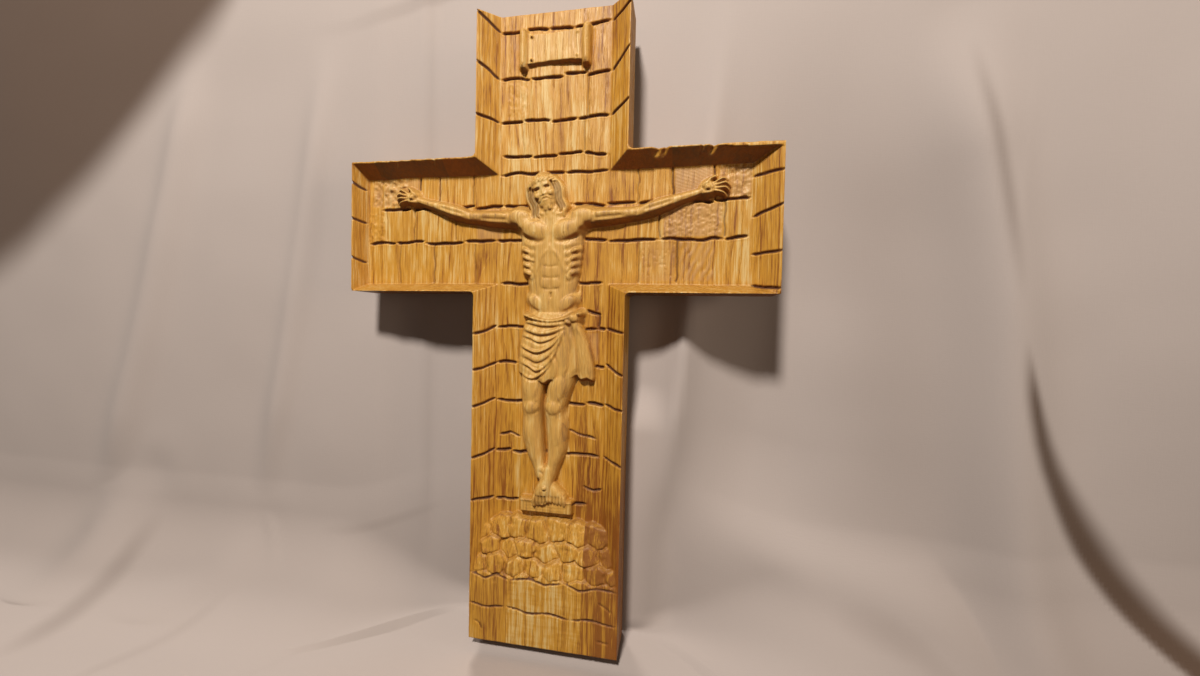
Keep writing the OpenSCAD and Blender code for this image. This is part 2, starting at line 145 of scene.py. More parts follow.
class StageSettings(bpy.types.PropertyGroup):
    cloth_tone: bpy.props.FloatVectorProperty(
        name="Cloth", description="Colour of the cloth behind and under the cross",
        subtype="COLOR", size=3, min=0, max=1, default=(0.53, 0.451, 0.414))
    key_power: bpy.props.FloatProperty(
        name="Main lamp", description="Power of the main lamp",
        unit="POWER", min=0, max=100, default=20.0)
    fill: bpy.props.FloatProperty(
        name="Fill light", description="Strength of the light from all round",
        min=0, max=2, default=0.045)


# Carving

def noise(x, z, scale, seed=0.0):
    """Smooth noise from -1 to 1 over a plane."""
    u, v = x / scale + 17.3 * seed, z / scale - 9.1 * seed
    i, j = np.floor(u), np.floor(v)
    f, g = u - i, v - j
    f, g = f * f * (3 - 2 * f), g * g * (3 - 2 * g)

    def corner(a, b):
        n = np.sin(a * 127.1 + b * 311.7 + seed * 74.7) * 43758.5453
        return 2 * (n - np.floor(n)) - 1

    low = corner(i, j) * (1 - f) + corner(i + 1, j) * f
    high = corner(i, j + 1) * (1 - f) + corner(i + 1, j + 1) * f
    return low * (1 - g) + high * g


def curve(points, step=1.5):
    """A smooth line through points, as close points."""
    p = np.array(points, float)
    if len(p) < 3:
        return p
    q = np.vstack([2 * p[0] - p[1], p, 2 * p[-1] - p[-2]])
    out = []
    for k in range(1, len(q) - 2):
        n = max(2, int(np.hypot(*(q[k + 1] - q[k])[:2]) / step))
        t = np.arange(n)[:, None] / n
        out.append(0.5 * (2 * q[k] + (q[k + 1] - q[k - 1]) * t
                          + (2 * q[k - 1] - 5 * q[k] + 4 * q[k + 1] - q[k + 2]) * t ** 2
                          + (3 * q[k] - q[k - 1] - 3 * q[k + 1] + q[k + 2]) * t ** 3))
    return np.vstack(out + [p[-1:]])


def smooth_max(a, b, k):
    if k <= 0:
        return np.maximum(a, b)
    s = np.maximum(k - np.abs(a - b), 0) / k
    return np.maximum(a, b) + s * s * k / 4


def smooth_step(low, high, x):
    t = np.clip((x - low) / (high - low), 0, 1)
    return t * t * (3 - 2 * t)


class Carving:
    """Height of the carved face above the floor of the hollow, in millimetres."""

    def __init__(self, xs, zs):
        self.xs, self.zs = xs, zs
        self.x, self.z = np.meshgrid(xs, zs)
        self.h = self.hollow()
        # dark: grooves, creases and cracks painted darker, for gathered oil and painted shade
        self.dark = np.zeros_like(self.h)
        self.soft = np.zeros_like(self.h)
        self.tint = np.zeros_like(self.h)
        self.wide = self.deep = 1.0

    def hollow(self):
        x, z = self.x, self.z
        stem = (np.abs(x) - STEM_FLOOR + 0.5 * noise(x, z, 40, 3)) / STEM_RUN * RIM
        stem = np.where(np.abs(x) < HALF_W, stem, OUTSIDE)
        left = (LEFT_FLOOR - x) / LEFT_RUN * RIM
        right = (x - RIGHT_FLOOR) / RIGHT_RUN * RIM
        sill = (SILL_FLOOR - z + 0.4 * noise(x, z, 18, 5)) / SILL_RUN * RIM
        ceiling = (z - CEILING_FLOOR + 0.5 * noise(x, z, 22, 8)) / CEILING_RUN * RIM
        arm = np.maximum(np.maximum(left, right), np.maximum(sill, ceiling))
        arm = np.where((z > LOW_Z) & (z < TOP_Z), arm, OUTSIDE)
        return np.clip(np.minimum(stem, arm), 0, RIM)

    def window(self, x0, x1, z0, z1):
        i0, i1 = np.searchsorted(self.xs, [x0, x1])
        j0, j1 = np.searchsorted(self.zs, [z0, z1])
        return slice(max(j0 - 1, 0), j1 + 1), slice(max(i0 - 1, 0), i1 + 1)

    def near(self, points, reach):
        """Window round a line, and there the distance from it and the place along it."""
        p = np.asarray(points, float)[:, :2]
        w = self.window(p[:, 0].min() - reach, p[:, 0].max() + reach,
                        p[:, 1].min() - reach, p[:, 1].max() + reach)
        x, z = self.x[w], self.z[w]
        best, place, side = np.full(x.shape, 1e9), np.zeros(x.shape), np.zeros(x.shape)
        for k in range(len(p) - 1):
            d = p[k + 1] - p[k]
            t = np.clip(((x - p[k, 0]) * d[0] + (z - p[k, 1]) * d[1]) / max(d @ d, 1e-9), 0, 1)
            ex, ez = x - p[k, 0] - t * d[0], z - p[k, 1] - t * d[1]
            e = np.hypot(ex, ez)
            closer = e < best
            best = np.where(closer, e, best)
            place = np.where(closer, k + t, place)
            side = np.where(closer, np.sign(d[0] * ez - d[1] * ex), side)
        return w, best, place, side

    def raise_to(self, w, height, blend, soft=None):
        if soft is not None:
            self.soft[w] = np.where(height > self.h[w], soft, self.soft[w])
            self.dark[w] = np.where(height > self.h[w] + 0.3, 0, self.dark[w])
            self.tint[w] = np.where(height > self.h[w], 0, self.tint[w])
        self.h[w] = smooth_max(self.h[w], height, blend)

    def mass(self, x, z, rx, rz, top, foot=0.0, turn=0.0, blend=0.8, soft=1.0):
        reach = max(rx, rz) * 1.5
        w = self.window(x - reach, x + reach, z - reach, z + reach)
        c, s = math.cos(math.radians(turn)), math.sin(math.radians(turn))
        dx, dz = self.x[w] - x, self.z[w] - z
        u, v = (dx * c + dz * s) / rx, (dz * c - dx * s) / rz
        q = np.sqrt(u * u + v * v)
        rise = np.sqrt(np.clip(1 - q ** 2, 0, 1))
        height = np.where(q < 1, foot + (top - foot) * rise, foot - (q - 1) * min(rx, rz) * 2)
        self.raise_to(w, height, blend, soft)

    def limb(self, points, blend=0.8, soft=1.0, flat=2.0):
        """points: rows of x, z, radius and top."""
        p = curve(points)
        w, d, t, _ = self.near(p, p[:, 2].max() * 1.4)
        k = np.arange(len(p))
        r, top = np.interp(t, k, p[:, 2]), np.interp(t, k, p[:, 3])
        q = d / r
        rise = np.clip(1 - q ** flat, 0, 1) ** (1 / flat)
        height = np.where(q < 1, top * rise, -(q - 1) * r * 2)
        self.raise_to(w, height, blend, soft)

    def slab(self, rows, blend=0.6):
        """rows: z, middle x, half width and top, from low to high."""
        r = np.array(rows, float)
        w = self.window((r[:, 1] - r[:, 2]).min() - 4, (r[:, 1] + r[:, 2]).max() + 4,
                        r[0, 0], r[-1, 0])
        x, z = self.x[w], self.z[w]
        fine = curve(r)
        mid, half, top = (np.interp(z, fine[:, 0], fine[:, k]) for k in (1, 2, 3))
        q = np.abs(x - mid) / half
        rise = np.clip(1 - q ** 2.4, 0, 1) ** 0.5
        height = np.where(q < 1, top * rise, -(q - 1) * half * 2)
        self.raise_to(w, height, blend, 1.0)

    def crease(self, points, width, depth, dark=0.0, taper=True):
        p = curve(points)
        w, d, t, _ = self.near(p, width * 2.2)
        cut = np.exp(-(d / width) ** 2 * 1.2)
        if taper:
            n = len(p) - 1
            cut = cut * smooth_step(0, 0.18 * n, t) * smooth_step(0, 0.18 * n, n - t)
        self.h[w] = self.h[w] - depth * cut
        # the crease is painted darker: gathered oil and painted shade
        if dark:
            self.dark[w] = np.maximum(self.dark[w], dark * np.minimum(1.9 * cut, 1))

    def nick(self, points, width, depth, dark=0.0):
        """A crease that is as deep at its ends as in its middle."""
        self.crease(points, width, depth, dark, taper=False)

    def ridge(self, points, width, height):
        self.crease(points, width, -height)

    def nail(self, w, across, hole, head, top, drop):
        """A nail head in a ring-shaped groove; across is the distance from its middle."""
        ring = 0.5 * np.exp(-((across - hole) / 0.35) ** 2)
        self.h[w] -= ring
        # the ring groove is painted darker: painted shade and gathered oil
        self.dark[w] = np.maximum(self.dark[w], ring)
        self.raise_to(w, np.where(across < head, top - drop * across, -5), 0.05)

    def groove(self, points, width, depth, seed):
        """Course groove cut into the stone: flat floor, steep sides, a wavy line."""
        width, depth = width * self.wide, depth * self.deep
        p = np.array(points, float)
        n = max(2, int(np.abs(np.diff(p[:, 0])).sum() / 1.2))
        s = np.linspace(p[0, 0], p[-1, 0], n) if abs(p[-1, 0] - p[0, 0]) > 2 else None
        if s is not None:
            order = np.argsort(p[:, 0])
            line = np.stack([s, np.interp(s, p[order, 0], p[order, 1])], 1)
        else:
            t = np.linspace(0, 1, max(2, int(abs(p[-1, 1] - p[0, 1]) / 1.2)))
            line = p[0] + (p[-1] - p[0]) * t[:, None]
        wander = 0.8 * noise(*line.T, 9, seed) + 0.34 * noise(*line.T, 4, seed + 2)
        d = np.gradient(line, axis=0)
        d /= np.maximum(np.hypot(d[:, 0], d[:, 1]), 1e-6)[:, None]
        line = line + np.stack([-d[:, 1], d[:, 0]], 1) * wander[:, None]
        w, e, t, side = self.near(line, width * 1.6 + 1)
        x, z = self.x[w], self.z[w]
        half = width / 2 * (1 + 0.22 * noise(x, z, 5, seed + 4))
        m = len(line) - 1
        half = half * (0.34 + 0.66 * smooth_step(0, 0.13 * m, t) * smooth_step(0, 0.13 * m, m - t))
        cut = 1 - smooth_step(half * 0.55, half * 1.15, e)
        lip = np.exp(-((e - half * 1.25) / (width * 0.28)) ** 2) * np.where(side < 0, 0.16, 0.05)
        self.h[w] = self.h[w] - depth * cut + lip * (1 - cut)
        # the groove is painted darker: oil gathered there and painted shade
        self.dark[w] = np.maximum(self.dark[w], smooth_step(0.25, 0.85, cut))
        return line

    def relax(self, slope):
        """Makes every side lean as a cutter leaves it."""
        dx = np.diff(self.xs).mean()
        dz = np.diff(self.zs).mean()
        h = self.h
        for _ in range(RELAX_ROUNDS):
            for axis, d in ((0, dz), (1, dx)):
                margin = [(1, 1), (0, 0)] if axis == 0 else [(0, 0), (1, 1)]
                wide = np.pad(h, margin, "edge") - slope * d
                up, down = (wide[:-2], wide[2:]) if axis == 0 else (wide[:, :-2], wide[:, 2:])
                h = np.maximum(h, np.maximum(up, down))
        self.h = soften(h)


def soften(h):
    p = np.pad(h, 1, "edge")
    h = 0.25 * p[:-2, 1:-1] + 0.5 * p[1:-1, 1:-1] + 0.25 * p[2:, 1:-1]
    p = np.pad(h, 1, "edge")
    return 0.25 * p[1:-1, :-2] + 0.5 * p[1:-1, 1:-1] + 0.25 * p[1:-1, 2:]


def cut_courses(c):
    left_wall = {389.5: 10, 360: 8, 333: 3, 201.8: -4.5, 179: -5.4, 154.4: -4, 121.5: -4.5, 90: -1}
    right_wall = {389.5: 5.8, 360: 9.4, 333: 6.3, 201.8: -1.5, 179: -5.4, 154.4: -2.5, 121.5: -3}
    for k, z in enumerate([389.5, 360, 333, 201.8, 179, 154.4, 121.5, 90]):
        lift = left_wall[z]
        c.groove([(-48.6, z + lift), (-43, z + lift * 0.62), (-36.4, z + 0.3)], 1.7, 1.5, k)
        if z in right_wall:
            lift = right_wall[z]
            c.groove([(36.4, z + 0.2), (43, z + lift * 0.5), (48.6, z + lift)], 1.7, 1.5, k + 20)
    rows = [
        (389.5, [-36, -19.5, -4, 12, 35.4], [0.6, -0.5, 0.4, 1.2]),
        (360, [-35.8, -16, 6, 21, 35.8], [-0.8, 0.2, -0.6, 1.6]),
        (333, [-35.6, -20, -2, 15, 35.6], [0.2, -0.8, 0.8, 1.4]),
        (310.8, [-34, -14, 3, 19.5, 34.5], [-0.5, 0.6, 0.8, -0.2]),
        (300, [-35, -7, 8, 36], [0.4, -0.4, 0.9]),
        (279.4, [-121, -98, -76, -52.5, -33, -9, 13, 34.5, 53.6, 74.8, 99.4, 120.5],
         [0.5, -0.3, 0.6, 0.2, -0.6, 0.4, -0.5, 0.3, 0.8, -0.6, 1.6]),
        (257, [-129.5, -110, -88.5, -60, -37.5, -14, 12, 36, 67.6, 105.8, 119.6],
         [0.8, 1.3, -0.6, 0.6, -0.3, 0.5, -0.8, 1.0, -0.2, 0.6]),
        (229.6, [-34, -9, 9, 33.5], [0.4, -0.7, 0.5]),
        (201.8, [-36, -13, 7, 31.2, 36], [0.8, -0.4, 0.3, -0.6]),
        (179, [-36, -21.5, -6, 9, 26.5, 36], [-0.4, 0.9, -0.4, 0.5, -1.0]),
        (154.4, [-36, -11.5, 8.5, 24.2, 36], [0.6, -0.4, 0.4, -1.0]),
        (121.5, [-36, -24.5, -7.5, 10, 33.5], [0.9, -0.5, 0.4, -0.8]),
        (90, [-35.6, -19, 8, 26], [0.5, -0.5, 0.6]),
    ]
    for k, (z, xs, lean) in enumerate(rows):
        for i in range(len(xs) - 1):
            a, b = xs[i] + 0.4, xs[i + 1] - 0.4
            shift = 0.5 * math.sin(3.1 * k + 2.3 * i)
            c.groove([(a, z + shift - lean[i] * 0.5), ((a + b) / 2, z + shift),
                      (b, z + shift + lean[i] * 0.5)], 1.75, 1.55, k * 3 + i)
    c.groove([(9, 212.6), (20, 212.8), (32.5, 211)], 1.7, 1.5, 61)
    c.groove([(-33, 131), (-26, 133.4), (-19, 131.4)], 1.4, 1.2, 62)
    c.groove([(12, 137.5), (22, 134), (31.5, 132)], 1.3, 1.0, 65)
    c.groove([(23.5, 101.5), (30, 99.4), (35.5, 101)], 1.4, 1.2, 63)
    for k, (hi, lo) in enumerate([(297.3, 292.8), (272.8, 270.4), (246.9, 243.7)]):
        c.groove([(-136.7, hi), (-131.5, lo)], 1.6, 1.4, 70 + k)
    for k, (lo, hi) in enumerate([(291.7, 293.3), (269.2, 273.5), (247.1, 248.1), (229.3, 226.5)]):
        c.groove([(121.5, lo), (129, lo * 0.4 + hi * 0.6), (136.7, hi)], 1.7, 1.4, 75 + k)
    # place across, foot, head and depth of each upright joint
    joints = [
        (54, 280.4, 299.5, 0.5), (75, 280.6, 299.5, 0.9), (99.6, 280.6, 299.5, 1.0),
        (67.7, 258.2, 278.4, 0.6), (106, 258.4, 277.5, 0.6), (55.2, 231, 255.6, 0.5),
        (78.6, 231.5, 255.8, 0.7), (101, 230.5, 256, 0.3), (-54, 280.6, 299.4, 0.5),
        (-78, 280.8, 299.2, 0.6), (-92, 281, 299.2, 0.8), (-66, 258.6, 278.2, 0.5),
        (-96, 258.6, 278, 0.5), (-117, 259.5, 278, 0.4), (-52, 230.5, 255, 0.5),
        (-81, 230.4, 256, 0.6), (-107, 230, 257.4, 0.5), (-120, 281, 299, 0.3),
        (-19.5, 361, 388, 0.35), (21, 334.5, 358.6, 0.5), (-16, 334, 358.6, 0.3),
        (-20, 312, 331.6, 0.35), (19.8, 313, 331.2, 0.5), (24.5, 361.6, 386, 0.3),
        (31.5, 203.4, 211.2, 0.7), (30.8, 213.6, 228, 0.4), (-21.6, 181, 200.2, 0.5),
        (26.6, 156, 177.5, 0.35), (-29, 156, 177.6, 0.3), (24.2, 123.5, 152.6, 0.4),
        (-24.4, 123, 130.4, 0.4), (-19, 92, 120, 0.35), (27, 102.4, 120, 0.5),
        (36.1, 300.8, 309.4, 0.3),
    ]
    for k, (x, z0, z1, depth) in enumerate(joints):
        zs = np.linspace(z0, z1, 9)
        xs = x + 0.75 * noise(zs, zs * 0 + k, 6, k) + 0.35 * noise(zs, zs * 0, 2.2, k + 5)
        c.nick(list(zip(xs, zs)), 0.62, depth * 1.6, dark=min(0.85, depth * 1.05))
        c.ridge(list(zip(xs + 0.95, zs)), 0.5, 0.14)


def roughen(c):
    """Tool marks and the rough faces of single blocks."""
    x, z = c.x, c.z
    floor = smooth_step(1.6, 0.3, c.h) * (c.dark < 0.2)

    def block(x0, x1, z0, z1):
        e = 1.6
        return (smooth_step(x0, x0 + e, x) * smooth_step(x1, x1 - e, x)
                * smooth_step(z0, z0 + e, z) * smooth_step(z1, z1 - e, z))

    c.h += 0.10 * noise(x, z, 14, 31) + 0.05 * noise(x, z, 5, 33)
    fine = noise(x, z, 1.1, 40)
    coarse = noise(x, z, 2.4, 41)
    dents = np.minimum(noise(x, z, 1.7, 43) + 0.35, 0)
    # x0, x1, z0, z1 of the block, height of the coarse and the fine grit, and how far it lies in
    for x0, x1, z0, z1, rough, grit, sunk in (
            (69, 105, 258.4, 278.6, 0.2, 0.32, 0.05), (101, 121, 281, 299.6, 0.5, 0.28, 0.2),
            (-128, -100, 281, 299.6, 0.75, 0.35, 0.2), (-131, -118, 258, 278, 0.3, 0.15, 0),
            (-32, -17, 335, 358, 0.16, 0.1, 0), (8, 30, 182, 200, 0.14, 0.08, 0)):
        c.h += floor * block(x0, x1, z0, z1) * (rough * coarse + grit * fine - sunk)
    c.h += floor * block(56, 78, 231, 255.6) * 0.7 * dents
    hatch = np.sin((x * 0.92 - z * 0.38) * 1.6 + 1.9 * noise(x, z, 6, 50))
    hatch = hatch * (0.7 + 0.5 * noise(x, z, 4, 52))
    hatched = floor * block(79, 101, 231, 256)
    c.h += hatched * 0.24 * hatch
    c.tint += hatched * 0.26 * hatch
    scratch = np.sin((x * 0.35 + z * 0.93) * 3.6 + 2.5 * noise(x, z, 9, 51))
    c.h += floor * block(75.8, 99, 281, 299.4) * 0.09 * scratch
    # x0, x1, z0, z1 of a block, and how much paler or darker its face is
    for x0, x1, z0, z1, tint in (
            (75.4, 99.4, 280.6, 299.6, 0.66), (69, 105, 258, 278.6, 0.42),
            (56, 78, 231, 256, 0.22), (79, 101, 231, 256, 0.22),
            (101, 121, 281, 299.6, 0.46), (-128, -92, 281, 299.6, 0.42),
            (-52, -33, 258, 279, 0.34), (108, 121, 231, 256, -0.5),
            (-64, -54, 281, 299, -0.4), (9, 32, 181, 200, 0.34)):
        c.tint += floor * block(x0, x1, z0, z1) * (tint + 0.10 * noise(x, z, 5, x0))
    wall = smooth_step(0.4, 1.5, c.h) * smooth_step(9.9, 9.0, c.h) * (np.abs(x) < 48.4)
    c.h += wall * 0.05 * noise(x, z, 7, 60)


def mound(c):
    """Heap of broken rock under the foot rest: flat faces with cracks between them."""
    w = c.window(-48.7, 48.7, -1, 38)
    c.raise_to(w, np.where(np.abs(c.x[w]) < HALF_W + 0.01, 10.0, -5.0), 0.0, 0.1)
    w = c.window(-48.7, 48.7, 34, 92)
    x, z = c.x[w], c.z[w]
    wx = x + 1.5 * noise(x, z, 7, 81) + 0.6 * noise(x, z, 2.6, 82)
    wz = z + 1.3 * noise(x, z, 7, 83) + 0.6 * noise(x, z, 2.6, 84)
    # height of a row of rocks, their top, and each one's place along the row and above it
    rows = [
        (86, None, [(-50, 0), (-38, -1), (-25, 2), (-12, 0), (1, 2), (13, 0), (26, 1), (39, -2),
                    (51, 0)]),
        (71, 5.0, [(-45, -3), (-30, 1), (-17, 2), (-5, 0), (8, 2), (21, 0), (35, 1), (48, -4)]),
        (60, 7.0, [(-50, -2), (-37, 0), (-24, -2), (-11, 1), (1, -2), (14, 1), (28, -1), (42, 0)]),
        (50, 8.8, [(-44, -1), (-31, 1), (-18, 0), (-6, 1), (7, -1), (20, 1), (33, 0), (47, 1)]),
        (38, 10.0, [(12.5 * k - 50, 0) for k in range(9)]),
    ]
    first, second = np.full(x.shape, 1e9), np.full(x.shape, 1e9)
    face, rock = np.zeros(x.shape), np.zeros(x.shape)
    for j, (zc, top, places) in enumerate(rows):
        for i, (px, dz) in enumerate(places):
            d = np.hypot(wx - px, (wz - zc - dz) * 1.2)
            k = 3.7 * i + 1.9 * j
            if top is None:
                plane = np.full(x.shape, -5.0)
            else:
                lean = 0.0 if top == 10 else 1.0
                plane = (top + lean * (0.7 * math.sin(k) + 0.16 * math.sin(2.3 * k + 1) * (x - px)
                                       - (0.13 + 0.07 * math.sin(k * 1.3)) * (z - zc - dz)))
            closer = d < first
            second = np.where(closer, first, np.minimum(second, d))
            face = np.where(closer, plane, face)
            rock = np.where(closer, 0.0 if top in (None, 10.0) else 1.0, rock)
            first = np.minimum(first, d)
    gap = second - first
    edge = np.exp(-(gap / 1.5) ** 1.3)
    chip = np.minimum(noise(x, z, 3.2, 85) + 0.25, 0) * 0.5 + 0.12 * noise(x, z, 1.4, 86)
    height = face - rock * (1.9 * edge - chip) - (1 - rock) * (face > 0) * 0.3 * edge
    c.raise_to(w, np.minimum(height, 10), 0.0, 0.15)
    # the cracks between the rocks are painted darker: painted shade
    crack = np.exp(-(gap / 0.55) ** 2) * rock * (height > c.h[w] - 0.2)
    c.dark[w] = np.maximum(c.dark[w], 0.7 * crack)


def break_rims(c):
    """Uneven and chipped edges along the tops and the feet of the arms."""
    x, z = c.x, c.z
    on_arm = (np.abs(x) > HALF_W + 2) & (z > LOW_Z - 0.1) & (z < TOP_Z + 0.1)
    land = np.where(x > 0, 0.3 + 2.6 * smooth_step(84, 132, x), 0.4) + 0.3 * noise(x, z * 0, 6, 110)
    c.h = np.where(on_arm & (z > TOP_Z - land), np.maximum(c.h, 9.9), c.h)
    chips = ((66.5, 2.5, 2.9), (70.8, 1.5, 2.0), (92, 1.1, 1.1), (98, 1.9, 2.6), (-104, 1.3, 1.1),
             (-77, 1.0, 0.9))
    for px, wide, deep in chips:
        c.h -= (on_arm * deep * np.exp(-((x - px - 0.5 * (z - TOP_Z)) / wide) ** 2)
                * smooth_step(TOP_Z - 5.5, TOP_Z - 0.8, z))
    band = smooth_step(TOP_Z - 1.0, TOP_Z, z) + smooth_step(LOW_Z + 1.3, LOW_Z, z)
    wear = np.clip(0.25 + 0.55 * noise(x, z, 5, 111) + 0.3 * noise(x, z, 1.8, 112), 0, 1)
    c.h -= on_arm * band * wear


def foot_stones(c):
    """Joints of the flat stones under the mound."""
    lines = [
        [(-48.6, 43.5), (-38, 41), (-30, 44), (-21, 41.5), (-9, 43.5), (2, 40.5), (14, 43),
         (24, 40), (35, 42.6), (48.6, 41)],
        [(-48.6, 23), (-36, 22.2), (-24, 24), (-11, 21.6), (4, 22.8), (19, 20.6), (31, 22),
         (48.6, 19.6)],
    ]
    for k, line in enumerate(lines):
        p = np.array(line)
        cuts = [0, 3, 6, len(p) - 1] if k == 0 else [0, 2, 5, len(p) - 1]
        for a, b in zip(cuts[:-1], cuts[1:]):
            seg = p[a:b + 1].copy()
            seg[0, 0] += 0.6
            seg[-1, 0] -= 0.6
            c.groove(seg, 1.3, 0.95, 90 + k * 7 + a)
    joints = [(-21.5, 24.6, 40.6, 0.6), (14.4, 23, 41.6, 0.5), (-34, 2, 21.6, 0.45),
              (-10.6, 0.5, 20.8, 0.5), (32.2, 0.5, 21, 0.75), (33.4, 23, 40.8, 0.5)]
    for k, (px, z0, z1, depth) in enumerate(joints):
        zs = np.linspace(z0, z1, 8)
        xs = px + 0.8 * noise(zs, zs * 0 + k, 6, k + 100)
        c.nick(list(zip(xs, zs)), 0.5, depth, dark=0.4)
    for k, p in enumerate([[(37, 33.5), (40.5, 31.8), (44, 29)], [(36.5, 10), (42.5, 9.4)],
                           [(-44, 12), (-41, 10.4), (-39.6, 7.5)]]):
        c.nick(p, 0.55, 0.7, dark=0.6)


def scroll(c):
    zc = 377
    w = c.window(-22, 22, zc - 12, zc + 12)
    x, z = c.x[w], c.z[w]
    wave = 0.35 * np.sin(x * 0.16) + 0.012 * x
    half_h = 9.4 - 0.5 * np.cos(x / 20 * math.pi * 0.9) + 0.18 * noise(x, z * 0, 4, 3)
    inside = smooth_step(0.5, -0.1, np.abs(z - zc) - half_h)
    inside = inside * smooth_step(0.5, -0.1, np.abs(x) - 20.2)
    sheet = (2.5 + wave + 0.5 * (np.abs(x) / 20) ** 3) * inside - 3 * (1 - inside)
    c.raise_to(w, sheet, 0.1, 0.7)
    for side in (-1, 1):
        c.limb([(side * 20.3, zc - 10.6, 2.7, 5.0), (side * 20.1, zc, 2.8, 5.2),
                (side * 20.4, zc + 10.6, 2.7, 5.0)], 0.1, 0.7)
        for end in (-1, 1):
            roll = ((-1.2, 10.9), (0.0, 11.6), (1.2, 10.7), (0.2, 10.1))
            c.nick([(side * 20.2 + u, zc + end * v) for u, v in roll], 0.34, 0.8, dark=0.5)
        c.nick([(side * 17.2, zc - 9), (side * 17.0, zc), (side * 17.2, zc + 9)], 0.5, 0.5, dark=0.35)
        c.crease([(side * 13.4, zc - 4), (side * 12.9, zc + 3), (side * 13.5, zc + 7)], 0.7, 0.18)
    for px, pz in ((-14.8, 384.2), (14.8, 384.2), (-14.8, 370), (14.8, 370)):
        c.mass(px, pz, 0.9, 0.9, 4.0, 2.4, blend=0.1)


def foot_rest(c):
    w = c.window(-18, 18, 82, 94)
    x, z = c.x[w], c.z[w]
    inside = smooth_step(0.25, -0.35, np.abs(x) - 17 - 0.1 * noise(x, z, 3, 1))
    inside = inside * smooth_step(0.25, -0.35, np.abs(z - 87.9) - 4.5)
    top = 4.2 + 0.7 * smooth_step(90.2, 92, z)
    c.raise_to(w, top * inside - 3 * (1 - inside), 0.05, 0.6)
    for k, pz in enumerate((85.2, 87.4, 89.3)):
        c.crease([(-16, pz), (-6, pz + 0.3), (5, pz - 0.3), (16, pz + 0.1)], 0.35, 0.22, dark=0.15)


def mirrored(s, points, middle=0.0):
    """Points given for the right side, put on the side s of a middle line."""
    return [(middle + s * x, *rest) for x, *rest in points]


def trunk(c):
    rows = [(186, 2.0, 18.4, 6.4), (198, 2.0, 18.6, 6.5), (207, 1.9, 17.4, 6.4),
            (216, 1.7, 15.6, 6.2), (225, 1.5, 15.6, 6.4), (235, 1.2, 17.2, 6.9),
            (246, 0.8, 19.2, 7.3), (256, 0.5, 20.2, 7.3), (264, 0.2, 19.4, 6.9),
            (270, 0.0, 16.2, 6.4), (275, -0.4, 11.0, 6.0), (279, -0.8, 6.5, 5.6)]
    c.slab(rows)
    for s in (-1, 1):
        m = 0.4
        c.mass(m + s * 9.2, 262.8, 9.6, 6.2, 8.5, 5.6, turn=s * 16, blend=1.0)
        c.mass(m + s * 14.6, 265.6, 7.5, 4.2, 7.9, 5.4, turn=s * 24, blend=1.2)
        c.crease(mirrored(s, [(18.2, 260.2), (13, 256.6), (7, 255.2), (2.2, 257)], m), 1.15, 0.75)
        c.ridge(mirrored(s, [(2.6, 272.2), (8, 273.4), (15, 276)], m), 1.0, 0.6)
        c.crease(mirrored(s, [(4, 270.2), (9, 270.8), (15, 273)], m), 1.2, 0.4)
        c.mass(m + s * 9.6, 261.2, 0.9, 0.8, 8.75, 8.0, blend=0.3)
        for k in range(5):
            z = 253.5 - 4.9 * k
            x0, x1 = 8.2 + 0.55 * k, 18.9 - 0.65 * k
            rib = np.array([(m + s * x0, z - 1.0), (m + s * (x0 + x1) / 2, z - 0.1), (m + s * x1, z + 2.0)])
            c.ridge(rib, 1.15, 0.34)
            c.crease(rib - [0, 2.5], 1.0, 0.34)
        for k in range(4):
            x, z = m + s * (15.6 - 0.5 * k), 250 - 4.6 * k
            c.mass(x, z, 2.6, 1.5, 6.7 - 0.2 * k, 5.2, turn=s * 30, blend=1.2)
        c.ridge(mirrored(s, [(0, 251.5), (4.4, 247.5), (8.2, 240), (11.4, 231.5)], 1), 1.2, 0.55)
        for k, (z, r) in enumerate([(243.6, 3.0), (236.6, 3.2), (229.6, 3.2)]):
            c.mass(1.2 + s * 3.5, z, 3.0, r, 7.15 - 0.1 * k, 6.2, blend=0.5)
        c.mass(1.6 + s * 3.3, 218.5, 3.0, 7.0, 6.9, 5.9, blend=0.6)
        c.crease([(1.6 + s * 13.5, 218), (1.7 + s * 9.6, 213), (1.8 + s * 5.4, 208.5)], 1.4, 0.4)
        c.crease([(1.4 + s * 7.1, 246), (1.5 + s * 7.8, 236), (1.6 + s * 7.2, 224)], 1.0, 0.32)
        c.mass(1.8 + s * 9.8, 217.5, 5.6, 3.4, 6.45, 5.0, turn=s * 42, blend=2.2)
    c.crease([(0.4, 270.8), (0.6, 262), (1, 252)], 1.1, 0.75)
    c.crease([(1, 249.5), (1.2, 238), (1.5, 225)], 0.75, 0.42)
    for z, half in ((240.1, 6.0), (233.1, 6.4), (226, 6.2)):
        c.crease([(1.3 - half, z + 0.5), (1.3, z - 0.2), (1.3 + half, z + 0.5)], 0.65, 0.36)
    c.nick([(1.55, 223.2), (1.6, 221.4)], 0.75, 1.0, dark=0.35)
    c.mass(0.35, 273.2, 1.3, 1.2, 5.6, 6.4, blend=0.2)
    c.nick([(-12.6, 243.4), (-9.8, 242.2)], 0.5, 0.9, dark=0.5)
    c.ridge([(-12.8, 244.3), (-9.6, 243.1)], 0.4, 0.25)


